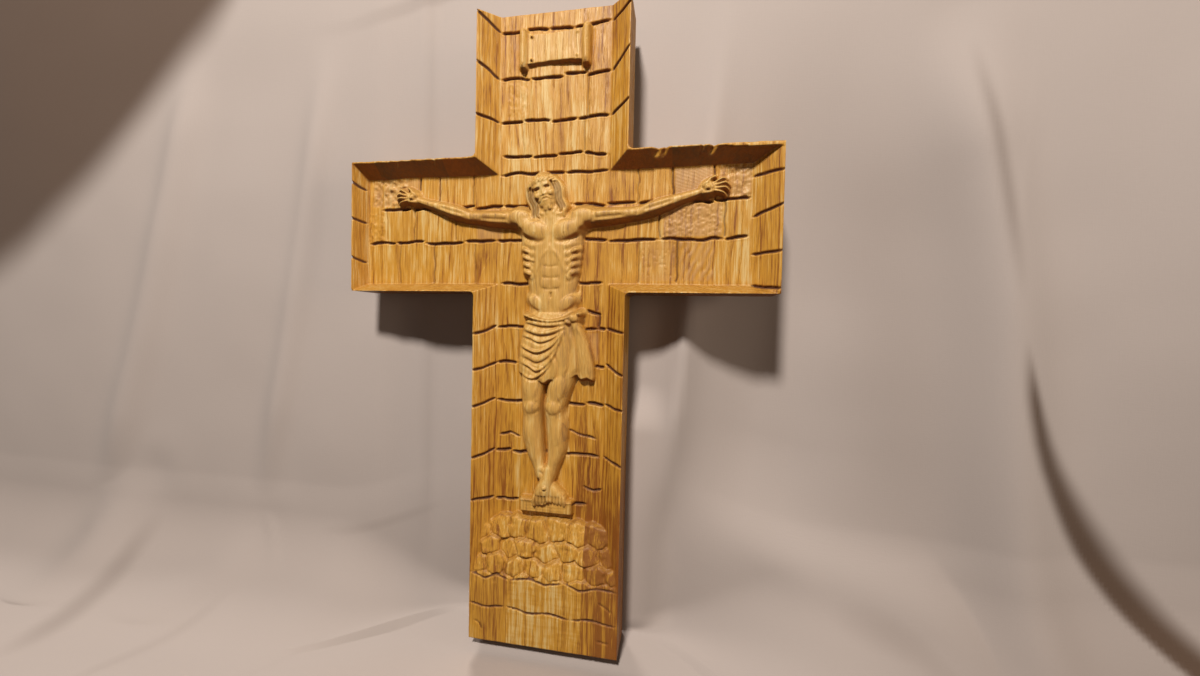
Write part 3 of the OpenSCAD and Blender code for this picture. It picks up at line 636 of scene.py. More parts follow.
def arm(c, s):
    muscles = [(12, 268.5, 5.6, 6.0), (19, 269.6, 6.0, 6.4), (27, 270.8, 5.5, 6.2),
               (38, 271.4, 5.1, 6.0), (49, 272.4, 4.3, 5.5), (56.5, 273.2, 4.1, 5.2),
               (64, 275.6, 4.6, 5.5), (73, 278.6, 4.0, 5.1), (82, 281.4, 3.1, 4.5),
               (90, 283.8, 2.6, 4.1), (94, 285.2, 2.9, 4.0)]
    c.limb(mirrored(s, muscles), 0.8)
    c.mass(s * 20, 271.2, 7.8, 5.2, 7.5, 4.6, turn=s * 8, blend=1.2)
    c.ridge(mirrored(s, [(27, 272.0), (32, 273.2), (39, 273.6), (47, 273.0)]), 2.3, 0.9)
    c.ridge(mirrored(s, [(28, 268.0), (38, 268.4), (47, 270.0)]), 1.5, 0.55)
    c.crease(mirrored(s, [(26, 269.4), (37, 270.2), (48, 271.2)]), 0.9, 0.45)
    c.crease(mirrored(s, [(26.5, 274.8), (28, 271), (26.8, 267)]), 0.9, 0.35)
    c.ridge(mirrored(s, [(55, 275.4), (64, 278.2), (76, 281.2)]), 1.7, 0.75)
    c.ridge(mirrored(s, [(57, 272.2), (66, 274.2), (78, 278.6)]), 1.4, 0.55)
    c.crease(mirrored(s, [(57, 273.6), (66, 276), (77, 279.6)]), 0.8, 0.4)
    c.crease(mirrored(s, [(52, 275.6), (54.5, 273.8), (53.6, 271)]), 0.8, 0.45)
    for k, dz in enumerate((-0.9, 0.8)):
        c.crease(mirrored(s, [(80, 281 + dz), (86, 282.8 + dz * 0.8), (91.5, 284.4 + dz * 0.6)]), 0.4, 0.32)
    c.crease(mirrored(s, [(17.6, 263), (20.6, 264.2), (23.6, 264.6)]), 0.9, 0.7, dark=0.2)
    # hand
    c.mass(s * 96.3, 286.2, 5.2, 4.3, 5.2, 0.6, turn=s * 16, blend=0.4)
    c.mass(s * 94.3, 288.2, 3.2, 2.0, 5.6, 3.0, turn=s * 45, blend=0.5)
    c.mass(s * 95.6, 283.6, 3.6, 1.7, 5.3, 3.0, turn=s * 10, blend=0.5)
    tips = [((99.6, 289.0), (103.4, 291.3), (105.6, 291.0), 1.15),
            ((100.6, 287.6), (105.2, 288.8), (107.2, 287.6), 1.2),
            ((100.8, 285.8), (105.3, 286.0), (107.0, 284.6), 1.15),
            ((100.0, 284.2), (103.8, 283.2), (105.4, 281.8), 1.02)]
    for a, b, t, r in tips:
        c.limb(mirrored(s, [(97.2, 286.2 + (a[1] - 286.2) * 0.7, r * 0.9, 4.4), (*a, r, 5.0),
                            (*b, r, 5.2), (*t, r * 0.92, 3.6)]), 0.05)
        c.nick([(s * (b[0] - 0.3), b[1] + 0.9), (s * (b[0] - 0.1), b[1] - 0.9)], 0.34, 0.25)
    for (a, b, t, r), (a2, b2, t2, r2) in zip(tips[:-1], tips[1:]):
        c.nick([(s * (a[0] - 1.2), (a[1] + a2[1]) / 2),
                (s * (a[0] + b[0]) / 2, (a[1] + a2[1] + b[1] + b2[1]) / 4),
                (s * (b[0] + b2[0]) / 2, (b[1] + b2[1]) / 2)], 0.34, 0.8, dark=0.3)
    thumb = [(94.2, 288.2, 1.5, 5.4), (96.6, 291.2, 1.3, 5.2), (99.4, 292.9, 1.05, 4.0)]
    c.limb(mirrored(s, thumb), 0.3)
    c.crease(mirrored(s, [(93.4, 285.4), (95.6, 286.9), (98.6, 287.4)]), 0.45, 0.35)
    c.crease(mirrored(s, [(94.4, 284.6), (97, 285.1), (99.4, 284.9)]), 0.4, 0.3)
    w = c.window(s * 95.4 - 3, s * 95.4 + 3, 283, 289)
    dx, dz = c.x[w] - s * 95.4, c.z[w] - 285.9
    square = np.maximum(np.abs(dx), np.abs(dz)) * 0.6 + 0.4 * np.hypot(dx, dz)
    c.nail(w, square, 1.75, 1.45, 6.5, 0.35)


def legs(c):
    left = [(-8.6, 186, 9.4, 7.0), (-9.6, 172, 8.8, 7.4), (-10.2, 160, 7.7, 7.6),
            (-10.3, 151, 6.8, 7.8), (-9.9, 143, 6.3, 7.0), (-9.9, 134, 7.0, 6.9),
            (-8.2, 124, 6.0, 6.5), (-5.6, 115, 4.4, 6.0), (-4.0, 108, 3.8, 6.0)]
    right = [(10.4, 186, 9.4, 7.2), (9.0, 172, 8.8, 7.6), (6.4, 160, 7.7, 8.0),
             (4.6, 151, 6.9, 8.3), (5.1, 143, 6.4, 7.5), (6.2, 134, 7.0, 7.2), (5.9, 124, 6.0, 6.9),
             (4.2, 115, 4.3, 6.8), (2.6, 108, 3.8, 7.2)]
    c.limb([(-4.0, 112, 3.8, 6.0), (-1.2, 105.5, 4.0, 5.7), (3.6, 99.2, 4.9, 6.3),
            (6.8, 95.2, 5.4, 6.0), (7.6, 93.4, 5.2, 5.4)], 0.5, flat=2.6)
    for k in range(5):
        x = 3.6 + 2.1 * k
        big = 1.45 if k == 4 else 1.1
        c.limb([(x * 0.94 + 0.4, 95, big, 6.0), (x + 0.1, 92.2, big, 6.4),
                (x + 0.2, 89.8 + 0.3 * (4 - k), big * 0.95, 5.6)], 0.05)
        if k:
            c.nick([(x - 0.9, 95), (x - 1.0, 92.4), (x - 0.9, 90)], 0.5, 1.0, dark=0.4)
    c.limb(left, 0.7)
    c.mass(-10.2, 151.6, 4.6, 4.6, 8.7, 6.0, blend=0.9)
    c.mass(-11.2, 136.5, 3.1, 9.0, 7.1, 5.0, turn=8, blend=2.0)
    c.ridge([(-8.6, 146), (-7.6, 132), (-5.2, 114)], 0.9, 0.5)
    c.crease([(-10.8, 145.6), (-10.6, 136), (-8.2, 118)], 1.1, 0.3)
    c.mass(-10.6, 163.6, 4.6, 8.4, 8.3, 6.2, turn=2, blend=1.0)
    c.crease([(-14.2, 157), (-13.2, 152), (-14, 147.6)], 0.9, 0.5)
    c.crease([(-6.4, 156.6), (-6.2, 151.4), (-7.2, 147)], 0.9, 0.5)
    c.limb(right, 0.35)
    c.mass(4.6, 151.8, 4.7, 4.7, 9.3, 6.6, blend=0.9)
    c.mass(7.4, 136.5, 3.1, 9.0, 7.4, 5.2, turn=-6, blend=2.0)
    c.ridge([(4.0, 146), (4.6, 132), (3.6, 114)], 0.9, 0.5)
    c.crease([(6.8, 145.6), (7.2, 136), (5.8, 118)], 1.1, 0.3)
    c.mass(7.6, 164, 4.6, 8.4, 8.7, 6.6, turn=-14, blend=1.0)
    c.crease([(8.6, 157), (8.0, 152), (8.8, 147.6)], 0.9, 0.5)
    c.crease([(0.8, 156.6), (1.0, 151.4), (0.4, 147)], 0.9, 0.5)
    c.crease([(-4.6, 111.5), (-1.4, 108.5), (-0.6, 104)], 0.6, 0.9, dark=0.3)
    between = [(-1.4, 170), (-2.8, 158), (-3.2, 150), (-2.4, 138), (-1.6, 126), (-0.9, 114)]
    c.crease(between, 0.9, 2.2, dark=0.35)
    c.limb([(2.2, 112, 3.8, 7.2), (1.2, 106, 4.1, 7.8), (-0.8, 100.4, 5.0, 8.6),
            (-2.2, 96, 5.8, 8.2), (-2.6, 93.6, 5.8, 7.2)], 0.5, flat=2.8)
    c.ridge([(1.8, 109), (0.8, 103), (-2.6, 97)], 0.7, 0.5)
    for k in range(5):
        x = -7.2 + 2.25 * k
        big = 1.55 if k == 0 else 1.12
        tip = 88.8 + 0.6 * k
        c.limb([(x * 0.9 - 0.3, 95.2, big, 7.6), (x - 0.1, 92.2 + 0.25 * k, big, 8.0),
                (x - 0.1, tip, big * 0.95, 6.8)], 0.05)
        if k:
            c.nick([(x * 0.9 - 1.3, 95.6), (x - 1.2, 92.8), (x - 1.15, tip)], 0.5, 1.4, dark=0.5)
    for k in range(4):
        x = -4.2 + 1.8 * k
        c.crease([(-0.2 + 0.25 * k, 100), (x - 0.8, 96)], 0.4, 0.22)
    w = c.window(-3, 3, 98, 105)
    c.nail(w, np.hypot(c.x[w], c.z[w] - 101.4), 1.8, 1.5, 9.6, 0.3)


def loincloth(c):
    rows = [(166, 0.5, 17.0, 7.0), (171, 0.2, 20.0, 7.8), (178, 0.6, 21.2, 8.2),
            (188, 1.2, 21.2, 8.3), (197, 1.8, 20.4, 8.2), (205, 2.0, 18.8, 8.0),
            (210.5, 1.8, 16.0, 7.0)]
    before = c.h.copy()
    c.slab(rows, blend=0.1)
    x, z = c.x, c.z
    hem = 172.6 - 5.2 * np.exp(-((x + 3) / 11) ** 2) + 0.9 * np.sin(x * 0.75) - 0.05 * x
    over = smooth_step(hem - 0.2, hem + 0.25, z)
    region = c.window(-24, 26, 160, 214)
    c.h[region] = (before + (c.h - before) * over)[region]
    sags = [2.5, 5.2, 7.5, 10.5, 12.5, 15.5, 16.0]
    for k, sag in enumerate(sags):
        t = k / (len(sags) - 1)
        a = (13.5 - 2.5 * t, 206.0 - 6.5 * t)
        b = (-18.0 - 2.6 * min(t * 2, 1), 206.5 - 31.5 * t ** 1.12)
        line = [a, ((a[0] * 3 + b[0]) / 4, (a[1] * 3 + b[1]) / 4 - sag * 0.8),
                ((a[0] + b[0]) / 2 - 1, (a[1] + b[1]) / 2 - sag),
                ((a[0] + b[0] * 3) / 4, (a[1] + b[1] * 3) / 4 - sag * (0.55 + 0.1 * math.sin(2.4 * k))), b]
        wide = 1.25 + 0.35 * math.sin(1.9 * k + 0.4)
        c.ridge(line, wide, 0.85 + 0.3 * math.sin(2.6 * k))
        c.crease(np.array(line) + [0.1, -wide * 1.45], 0.8, 0.85, dark=0.12)
        if k % 2:
            c.crease(np.array(line[1:4]) + [0.6, wide * 1.1], 0.6, 0.35)
    for a in ([(9, 202), (11.6, 192), (12.2, 180), (10.6, 170)],
              [(14.5, 200), (17.2, 190), (18.2, 179), (17.2, 173)],
              [(2.5, 186), (5.4, 178), (4.6, 169)], [(-4.5, 180), (-3.4, 174), (-4.2, 168.5)]):
        c.ridge(a, 1.2, 0.8)
        c.crease(np.array(a) + [2.0, 0], 0.8, 0.75, dark=0.12)
    # rolled waist
    roll = [(-15.0, 209.6, 1.9, 7.2), (-9, 207.6, 2.3, 8.7), (0, 206.0, 2.4, 9.3),
            (8, 206.8, 2.3, 9.2), (14.5, 209, 2.1, 8.6)]
    c.limb(roll, 0.15)
    fine = curve(roll)
    for k in range(2, len(fine) - 2, 2):
        cx, cz = fine[k][:2]
        c.crease([(cx - 1.5, cz - 2.2), (cx, cz), (cx + 1.3, cz + 2.1)], 0.42, 0.42, dark=0.15)
    # hanging end
    c.limb([(16.6, 206, 2.8, 7.6), (19.4, 198, 3.8, 7.2), (22, 188, 4.8, 6.6),
            (23.6, 178, 5.6, 5.8), (24.2, 171.5, 5.4, 4.8)], 0.15, flat=3)
    for k in range(5):
        dx = -4 + 2 * k
        pleat = [(16.6 + dx * 0.35, 203), (20 + dx * 0.65, 193), (23.2 + dx * 0.95, 180),
                 (24.2 + dx, 168.5)]
        c.crease(pleat, 0.5, 0.85 - 0.1 * (k % 2), dark=0.2)
    w = c.window(15, 32, 160, 176)
    xw, zw = c.x[w], c.z[w]
    zig = 169.4 + 1.6 * np.abs(((xw - 18) / 3.6) % 2 - 1) - 0.12 * (xw - 24)
    cutoff = smooth_step(zig - 0.15, zig + 0.3, zw)
    c.h[w] = np.where(xw > 17.6, before[w] + (c.h[w] - before[w]) * cutoff, c.h[w])
    # knot
    c.mass(16.2, 208.2, 4.2, 3.6, 9.7, 4.0, turn=-25, blend=0.2)
    c.mass(19.0, 210.4, 3.0, 2.1, 8.4, 3.0, turn=38, blend=0.2)
    c.mass(13.0, 205.6, 2.6, 2.0, 9.2, 5.0, turn=-30, blend=0.3)
    for k in range(4):
        tuck = [(13.6 + 1.2 * k, 205.2 + 0.4 * k), (14.6 + 1.2 * k, 208.4), (14.8 + 1.25 * k, 211)]
        c.crease(tuck, 0.42, 0.6, dark=0.2)
    c.crease([(12.4, 210.2), (16, 211.6), (19.8, 208.6), (19.6, 205)], 0.5, 0.6, dark=0.25)


def head(c, cx=-4.4, cz=286.8, tilt=17.0):
    t = math.radians(tilt)
    up, right = np.array([-math.sin(t), math.cos(t)]), np.array([math.cos(t), math.sin(t)])

    def at(u, v):
        p = np.array([cx, cz]) + right * u + up * v
        return float(p[0]), float(p[1])

    def line(*uv):
        return [at(u, v) for u, v in uv]

    def mass(u, v, ru, rv, top, foot, turn=0.0, blend=0.4):
        x, z = at(u, v)
        c.mass(x, z, ru, rv, top, foot, turn=tilt + turn, blend=blend)

    def limb(rows, blend):
        c.limb([(*at(u, v), r, h) for u, v, r, h in rows], blend)

    c.limb([(-1.6, 278.5, 5.6, 6.2), (0.2, 272, 6.4, 6.2), (0.6, 268, 6.6, 6.0)], 0.8)
    c.ridge([(-6.2, 279), (-3.4, 275), (-0.8, 272.4)], 0.8, 0.55)
    c.ridge([(5.0, 279), (3.6, 275.4), (1.9, 272.4)], 0.8, 0.55)
    # hair behind the face
    locks = ((10.4, -16.0, 1.7, 6.3), (8.9, -19.0, 1.7, 7.1), (7.2, -15.0, 1.6, 7.7))
    for s in (-1, 1):
        for k, (u, low, r, top) in enumerate(locks):
            limb(mirrored(s, [(u - 3.5, 8.0 - k, r, top), (u - 0.3, 3.5, r + 0.1, top),
                              (u + 0.6, -2.5, r + 0.2, top), (u - 0.5, -8.0, r + 0.1, top),
                              (u + 0.6, -13.0, r, top - 0.1), (u - 0.4, low, 0.9, top - 0.5)]), 0.1)
    mass(0, 1.5, 8.8, 12.0, 8.3, 0.5, blend=0.6)
    mass(0, -0.8, 6.9, 9.8, 8.5, 4.6, blend=0.5)
    # face
    mass(0, 3.4, 5.6, 2.8, 8.8, 7.6, blend=0.6)
    for s in (-1, 1):
        c.ridge(line((s * 0.9, 2.1), (s * 3.0, 2.7), (s * 5.4, 1.6)), 0.62, 0.45)
        c.crease(line((s * 1.3, 0.9), (s * 3.1, 1.3), (s * 5.0, 0.4)), 0.9, 1.15)
        mass(s * 3.15, 0.0, 1.6, 1.0, 8.05, 6.9, blend=0.25)
        c.crease(line((s * 1.5, -0.35), (s * 3.2, -0.95), (s * 4.9, -0.35)), 0.32, 0.5, dark=0.4)
        c.crease(line((s * 1.6, 0.75), (s * 3.1, 1.05), (s * 4.7, 0.5)), 0.3, 0.3, dark=0.2)
        mass(s * 4.1, -2.6, 2.3, 2.0, 8.5, 7.2, turn=s * 20, blend=0.8)
        c.crease(line((s * 1.9, -2.8), (s * 2.9, -4.2), (s * 3.6, -5.6)), 0.5, 0.4)
    limb([(0, 2.2, 0.85, 8.7), (0, 0.2, 0.9, 9.1), (0, -1.8, 1.1, 9.6), (0, -2.8, 1.3, 9.6)], 0.25)
    for s in (-1, 1):
        mass(s * 1.35, -2.9, 0.8, 0.7, 9.0, 7.8, blend=0.15)
        c.nick(line((s * 0.5, -3.75), (s * 1.2, -3.6)), 0.3, 0.5, dark=0.4)
    # beard and mouth
    mass(0, -7.6, 5.4, 4.8, 8.3, 4.0, blend=0.5)
    mass(-1.1, -10.6, 2.3, 3.2, 8.2, 3.5, turn=-6, blend=0.4)
    mass(1.2, -10.6, 2.3, 3.2, 8.2, 3.5, turn=6, blend=0.4)
    for s in (-1, 1):
        limb([(s * 0.3, -4.3, 0.7, 8.95), (s * 2.2, -4.8, 0.72, 8.8), (s * 3.8, -6.2, 0.55, 8.3)], 0.15)
    c.crease(line((-1.7, -5.55), (0, -5.35), (1.7, -5.55)), 0.36, 0.7, dark=0.55)
    mass(0, -6.3, 1.4, 0.55, 8.75, 7.8, blend=0.15)
    for k in range(11):
        u = -5.0 + k
        lock = line((u * 0.78, -6.8 + 0.06 * u * u), (u * 0.86 + 0.3 * math.sin(k), -9.2),
                    (u * 0.42, -12.8 + 0.07 * u * u))
        c.crease(lock, 0.34, 0.42, dark=0.2)
    # hair strands
    for s in (-1, 1):
        for k, u in enumerate((6.5, 8.1, 9.7)):
            pts = line(*mirrored(s, [(u - 2.6, 9.6 - k), (u - 0.1, 3.5), (u + 0.8, -2.5),
                                     (u - 0.3, -8.0), (u + 0.7, -13.0), (u + 0.2, -16.5)]))
            c.crease(pts, 0.7, 1.6, dark=0.6)
            c.crease(np.array(pts) + right * 0.8 * s, 0.34, 0.5, dark=0.3)
    # crown
    bands = []
    for phase in (0.0, 2.1, 4.2):
        us = np.linspace(-9.6, 9.6, 40)
        vs = 6.6 - 0.024 * us ** 2 + 1.05 * np.sin(us * 0.85 + phase)
        rise = 9.35 - 0.034 * us ** 2 + 0.55 * np.cos(us * 0.85 + phase)
        bands.append((us, vs, rise))
        limb([(u, v, 1.0, h) for u, v, h in zip(us, vs, rise)], 0.0)
    for k in range(12):
        u = -9 + 1.65 * k
        base = 6.6 - 0.024 * u * u
        way = 1 if k % 2 else -1
        lean = 0.8 * math.sin(k * 1.9)
        drop = 0.034 * u * u
        limb([(u, base + way * 0.8, 0.5, 9.6 - drop), (u + lean * 0.6, base + way * 2.1, 0.36, 9.7 - drop),
              (u + lean * 1.2, base + way * 3.2, 0.2, 9.3 - drop)], 0.0)
    under_rim = RIM - 0.03
    c.h = np.where((c.h > under_rim) & (np.hypot(c.x - cx, c.z - cz) < 24), under_rim, c.h)


def carve(xs, zs, cut):
    c = Carving(xs, zs)
    c.wide, c.deep = cut.groove_w / GROOVE_W, cut.groove_d / GROOVE_D
    cut_courses(c)
    scroll(c)
    mound(c)
    foot_stones(c)
    roughen(c)
    foot_rest(c)
    for s in (-1, 1):
        arm(c, s)
    trunk(c)
    legs(c)
    loincloth(c)
    head(c)
    c.relax(cut.slope)
    break_rims(c)
    c.h = np.clip(c.h, -1.75, RIM)
    # cavity: painted shade, with gathered oil, where the face lies below a blurred copy of itself
    wide = c.h
    for _ in range(24):
        wide = soften(wide)
    c.cavity = np.clip((wide - c.h - 0.12) / 1.6, 0, 1)
    c.dark = soften(c.dark)
    return c


# Meshes

def spread(stops, step):
    """Lines from the first stop to the last, with one on every stop."""
    out = [np.array([stops[0]])]
    for a, b in zip(stops[:-1], stops[1:]):
        out.append(np.linspace(a, b, max(2, int(math.ceil((b - a) / step)) + 1))[1:])
    return np.concatenate(out)


def glue_lines():
    lo = [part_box(row[0])[0][0] / MM for row in STAVES]
    return lo + [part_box(STAVES[-1][0])[1][0] / MM]


def new_object(name, verts, faces, smooth):
    mesh = bpy.data.meshes.new(name)
    mesh.from_pydata(verts, [], faces)
    mesh.polygons.foreach_set("use_smooth", np.asarray(smooth, bool))
    mesh.update()
    obj = bpy.data.objects.new(name, mesh)
    bpy.context.scene.collection.objects.link(obj)
    return obj


def keep_cells(xs, zs):
    """Which cells of the grid lie inside the outline of the cross."""
    x = (xs[:-1] + xs[1:])[None, :] / 2
    z = (zs[:-1] + zs[1:])[:, None] / 2
    keep = (np.abs(x) < HALF_W) | ((z > LOW_Z) & (z < TOP_Z))
    for corner_z, way in ((LOW_Z, -1), (TOP_Z, 1)):
        dx, dz = np.abs(x) - HALF_W, (z - corner_z) * way
        near = (dx > 0) & (dx < CORNER_R) & (dz > 0) & (dz < CORNER_R)
        keep = keep | (near & (np.hypot(dx - CORNER_R, dz - CORNER_R) > CORNER_R))
    return keep


def trace(edges):
    """Orders directed edges into one closed loop."""
    following = {int(a): int(b) for a, b in edges}
    start = next(iter(following))
    loop, at = [start], following[start]
    while at != start:
        loop.append(at)
        at = following[at]
    if len(loop) != len(following):
        raise RuntimeError("a stave's outline is not one loop")
    return loop


def round_inner_corners(x, z, loop):
    """Puts the outline's points beside the inner corners of the cross onto their arcs."""
    for corner_z, way in ((LOW_Z, -1), (TOP_Z, 1)):
        dx, dz = np.abs(x) - HALF_W, (z - corner_z) * way
        ring = np.zeros(len(x), bool)
        ring[loop] = True
        ring &= (dx > -TINY) & (dz > -TINY) & (dx + dz > 0.2)
        ring &= (dx < CORNER_R + 0.3) & (dz < CORNER_R + 0.3)
        d = np.hypot(dx - CORNER_R, dz - CORNER_R)
        move = ring & (d > 0.3) & (dx < CORNER_R - TINY) & (dz < CORNER_R - TINY)
        share = CORNER_R / np.maximum(d, TINY)
        on_x = CORNER_R + (dx - CORNER_R) * share
        on_z = CORNER_R + (dz - CORNER_R) * share
        x = np.where(move, np.sign(x) * (HALF_W + on_x), x)
        z = np.where(move, corner_z + way * on_z, z)
    return x, z


def outward(x, z, left, right):
    """Which way is out at each point of an outline, leaving the glue joints alone."""
    out = np.zeros((len(x), 2))
    for k in range(len(x)):
        m = (k + 1) % len(x)
        ex, ez = x[m] - x[k], z[m] - z[k]
        mid = (x[m] + x[k]) / 2
        at_joint = min(abs(mid - left), abs(mid - right)) < 1e-3
        if abs(ex) < TINY and at_joint and abs(abs(mid) - BOARD_HALF) > 1e-3:
            continue
        n = np.array([ez, -ex]) / max(math.hypot(ex, ez), 1e-9)
        out[k] += n
        out[m] += n
    length = np.hypot(out[:, 0], out[:, 1])
    on_rim = length > 0.1
    return np.where(on_rim[:, None], out / np.maximum(length, 1e-9)[:, None], 0), on_rim


def close_back(back, x, z, pocket):
    """Flat faces that close the back; with a pocket, one on each side of its mouth."""
    if pocket is None:
        return [back[::-1].tolist()]
    count, ring = len(back), pocket
    foot = min(range(count), key=lambda k: abs(z[k]) * 100 + abs(x[k]))
    top = min(range(count), key=lambda k: abs(z[k] - BOARD_H) * 100 + abs(x[k]))

    def stretch(a, b):
        return [int(back[k % count]) for k in range(a, (b if b >= a else b + count) + 1)]

    # the ring runs from the pocket's top, over its right side, to its foot and back
    half = len(ring) // 2
    return [(stretch(foot, top) + ring[:half + 1])[::-1],
            (stretch(top, foot) + ring[half:] + ring[:1])[::-1]]


def write_values(mesh, face, part, used, rim, count):
    """Keeps what the materials read: grooves and creases with gathered oil and painted shade, hollows with
    painted shade and oil, the smooth figure and dusty blocks.
    """
    for label, source in (("groove", face.dark), ("cavity", face.cavity), ("figure", face.soft),
                          ("tint", face.tint)):
        values = np.zeros(count, np.float32)
        values[:len(used)] = source[part].ravel()[used]
        if label != "figure":
            values[:len(used)][rim] *= 0.6
        mesh.attributes.new(label, "FLOAT", "POINT").data.foreach_set("value", values)


def mark_sharp(mesh, rings, count):
    """Marks the edges along the rims as sharp."""
    edges = np.empty(len(mesh.edges) * 2, np.int32)
    mesh.edges.foreach_get("vertices", edges)
    edges = np.sort(edges.reshape(-1, 2), 1).astype(np.int64)
    marked = np.concatenate([np.stack([r, np.roll(r, -1)], 1) for r in rings])
    marked = np.sort(marked, 1).astype(np.int64)
    sharp = np.isin(edges[:, 0] * count + edges[:, 1], marked[:, 0] * count + marked[:, 1])
    mesh.attributes.new("sharp_edge", "BOOLEAN", "EDGE").data.foreach_set("value", sharp)


def stave_object(name, face, left, right, pocket):
    """One stave of the carved face, as a closed mesh with its sides and its back."""
    i0, i1 = np.searchsorted(face.xs, [left - TINY, right + TINY])
    xs, zs = face.xs[i0:i1], face.zs
    keep = keep_cells(xs, zs)
    rows = np.where(keep.any(1))[0]
    zs = zs[rows[0]:rows[-1] + 2]
    keep = keep[rows[0]:rows[-1] + 1]
    part = (slice(rows[0], rows[-1] + 2), slice(i0, i1))
    grid = len(xs) * len(zs)
    index = np.arange(grid).reshape(len(zs), len(xs))
    a, b, c, d = index[:-1, :-1], index[:-1, 1:], index[1:, 1:], index[1:, :-1]
    quads = np.stack([a[keep], b[keep], c[keep], d[keep]], 1)
    sides = np.concatenate([quads[:, [k, (k + 1) % 4]] for k in range(4)]).astype(np.int64)
    on_outline = ~np.isin(sides[:, 0] * grid + sides[:, 1], sides[:, 1] * grid + sides[:, 0])
    loop = np.array(trace(sides[on_outline]))

    x, z = (values.ravel() for values in np.meshgrid(xs, zs))
    x, z = round_inner_corners(x, z, loop)
    h = face.h[part].ravel().copy()
    lx, lz = x[loop], z[loop]
    out, on_rim = outward(lx, lz, left, right)
    worn = 0.34 + 0.10 * noise(lx, lz, 7, 90) + 0.06 * noise(lx, lz, 2, 91)
    h[loop] = np.where(on_rim, np.minimum(h[loop], h[loop] - worn * (h[loop] > -1)), h[loop])

    used = np.unique(quads)
    front = np.full(grid, -1)
    front[used] = np.arange(len(used))
    around = np.arange(len(loop))
    rings = [front[loop], len(used) + around, len(used) + len(loop) + around]
    inset = BACK_EDGE * out
    verts = [np.stack([x[used], FLOOR_Y - h[used], z[used]], 1),
             np.stack([lx, np.full(len(loop), BACK_Y - BACK_EDGE), lz], 1),
             np.stack([lx - inset[:, 0], np.full(len(loop), BACK_Y), lz - inset[:, 1]], 1)]
    faces = front[quads].tolist()
    for near, far in zip(rings[:-1], rings[1:]):
        faces += np.stack([np.roll(near, -1), near, far, np.roll(far, -1)], 1).tolist()
    mouth, flat_faces = None, []
    if pocket:
        mouth, extra, walls, floor = pocket_rings(len(used) + 2 * len(loop))
        verts.append(extra)
        faces += walls
        flat_faces.append(floor)
    flat_faces += close_back(rings[-1], lx, lz, mouth)
    smooth = [True] * len(faces) + [False] * len(flat_faces)
    verts = np.concatenate(verts) * MM
    obj = new_object(name, verts.tolist(), faces + flat_faces, smooth)
    write_values(obj.data, face, part, used, front[loop], len(verts))
    mark_sharp(obj.data, rings, len(verts))
    return obj


def pocket_rings(first):
    """The hanger's pocket: a long hole with round ends, let into the back."""
    floor_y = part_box("hanger_strap")[0][1] / MM
    high, low = POCKET_TOP - POCKET_R, POCKET_FOOT + POCKET_R
    # from the top over the right side, round the foot, and up the left side to the top
    arcs = ((math.pi / 2, high, range(49)), (0.0, low, range(97)), (math.pi, high, range(1, 48)))

    def outline(radius):
        pts = []
        for start, middle, steps in arcs:
            for k in steps:
                a = start - math.pi * k / 96
                pts.append((radius * math.cos(a), middle + radius * math.sin(a)))
        return pts

    # a small chamfer at the mouth and another at the floor
    layers = [(BACK_Y, 0.3), (BACK_Y - 0.3, 0.0), (floor_y + 0.25, 0.0), (floor_y, -0.25)]
    verts, rings = [], []
    for y, grow in layers:
        pts = outline(POCKET_R + grow)
        rings.append([first + len(verts) + k for k in range(len(pts))])
        verts += [(px, y, pz) for px, pz in pts]
    walls = []
    m = len(rings[0])
    for near, far in zip(rings[:-1], rings[1:]):
        for k in range(m):
            walls.append([near[k], near[(k + 1) % m], far[(k + 1) % m], far[k]])
    return rings[0], np.array(verts), walls, list(rings[-1])


def tube(name, path, radius, turns=28):
    """A closed round wire along a closed path in millimetres."""
    p = np.array(path, float)
    n = len(p)
    ahead = np.roll(p, -1, 0) - np.roll(p, 1, 0)
    ahead /= np.linalg.norm(ahead, axis=1)[:, None]
    side = np.cross(ahead, [0.0, 1.0, 0.0])
    side /= np.linalg.norm(side, axis=1)[:, None]
    up = np.cross(side, ahead)
    a = np.linspace(0, 2 * math.pi, turns, endpoint=False)
    ring = side[:, None] * np.cos(a)[None, :, None] + up[:, None] * np.sin(a)[None, :, None]
    verts = (p[:, None] + radius * ring).reshape(-1, 3) * MM
    i = np.arange(n)[:, None] * turns + np.arange(turns)[None, :]
    j = np.roll(i, -1, 0)
    faces = np.stack([i, np.roll(i, -1, 1), np.roll(j, -1, 1), j], -1).reshape(-1, 4)
    return new_object(name, verts.tolist(), faces.tolist(), np.ones(len(faces), bool))


# Materials

NO_SHIFT = (0.0, 0.0, 0.0)


class Wire:
    """A socket of a material's node tree. Sums and products of wires add nodes."""

    def __init__(self, bench, socket):
        self.bench, self.socket = bench, socket

    def _with(self, operation, other=None, clamp=False):
        values = {0: self}
        if other is not None:
            values[1] = other
        settings = {"operation": operation, "use_clamp": clamp}
        return self.bench.node("ShaderNodeMath", settings, values)

    def __add__(self, other):
        return self._with("ADD", other)

    __radd__ = __add__

    def __mul__(self, other):
        return self._with("MULTIPLY", other)

    def __sub__(self, other):
        return self._with("SUBTRACT", other)

    def __truediv__(self, other):
        return self._with("DIVIDE", other)

    def sqrt(self):
        return self._with("SQRT")

    def floor(self):
        return self._with("FLOOR")

    def part(self):
        return self._with("FRACT")

    def clamped(self):
        return self._with("ADD", 0.0, clamp=True)

    def between(self, low, high, to_low=0.0, to_high=1.0):
        return self.bench.node(
            "ShaderNodeMapRange", {"interpolation_type": "SMOOTHSTEP"},
            {"Value": self, "From Min": low, "From Max": high, "To Min": to_low, "To Max": to_high})


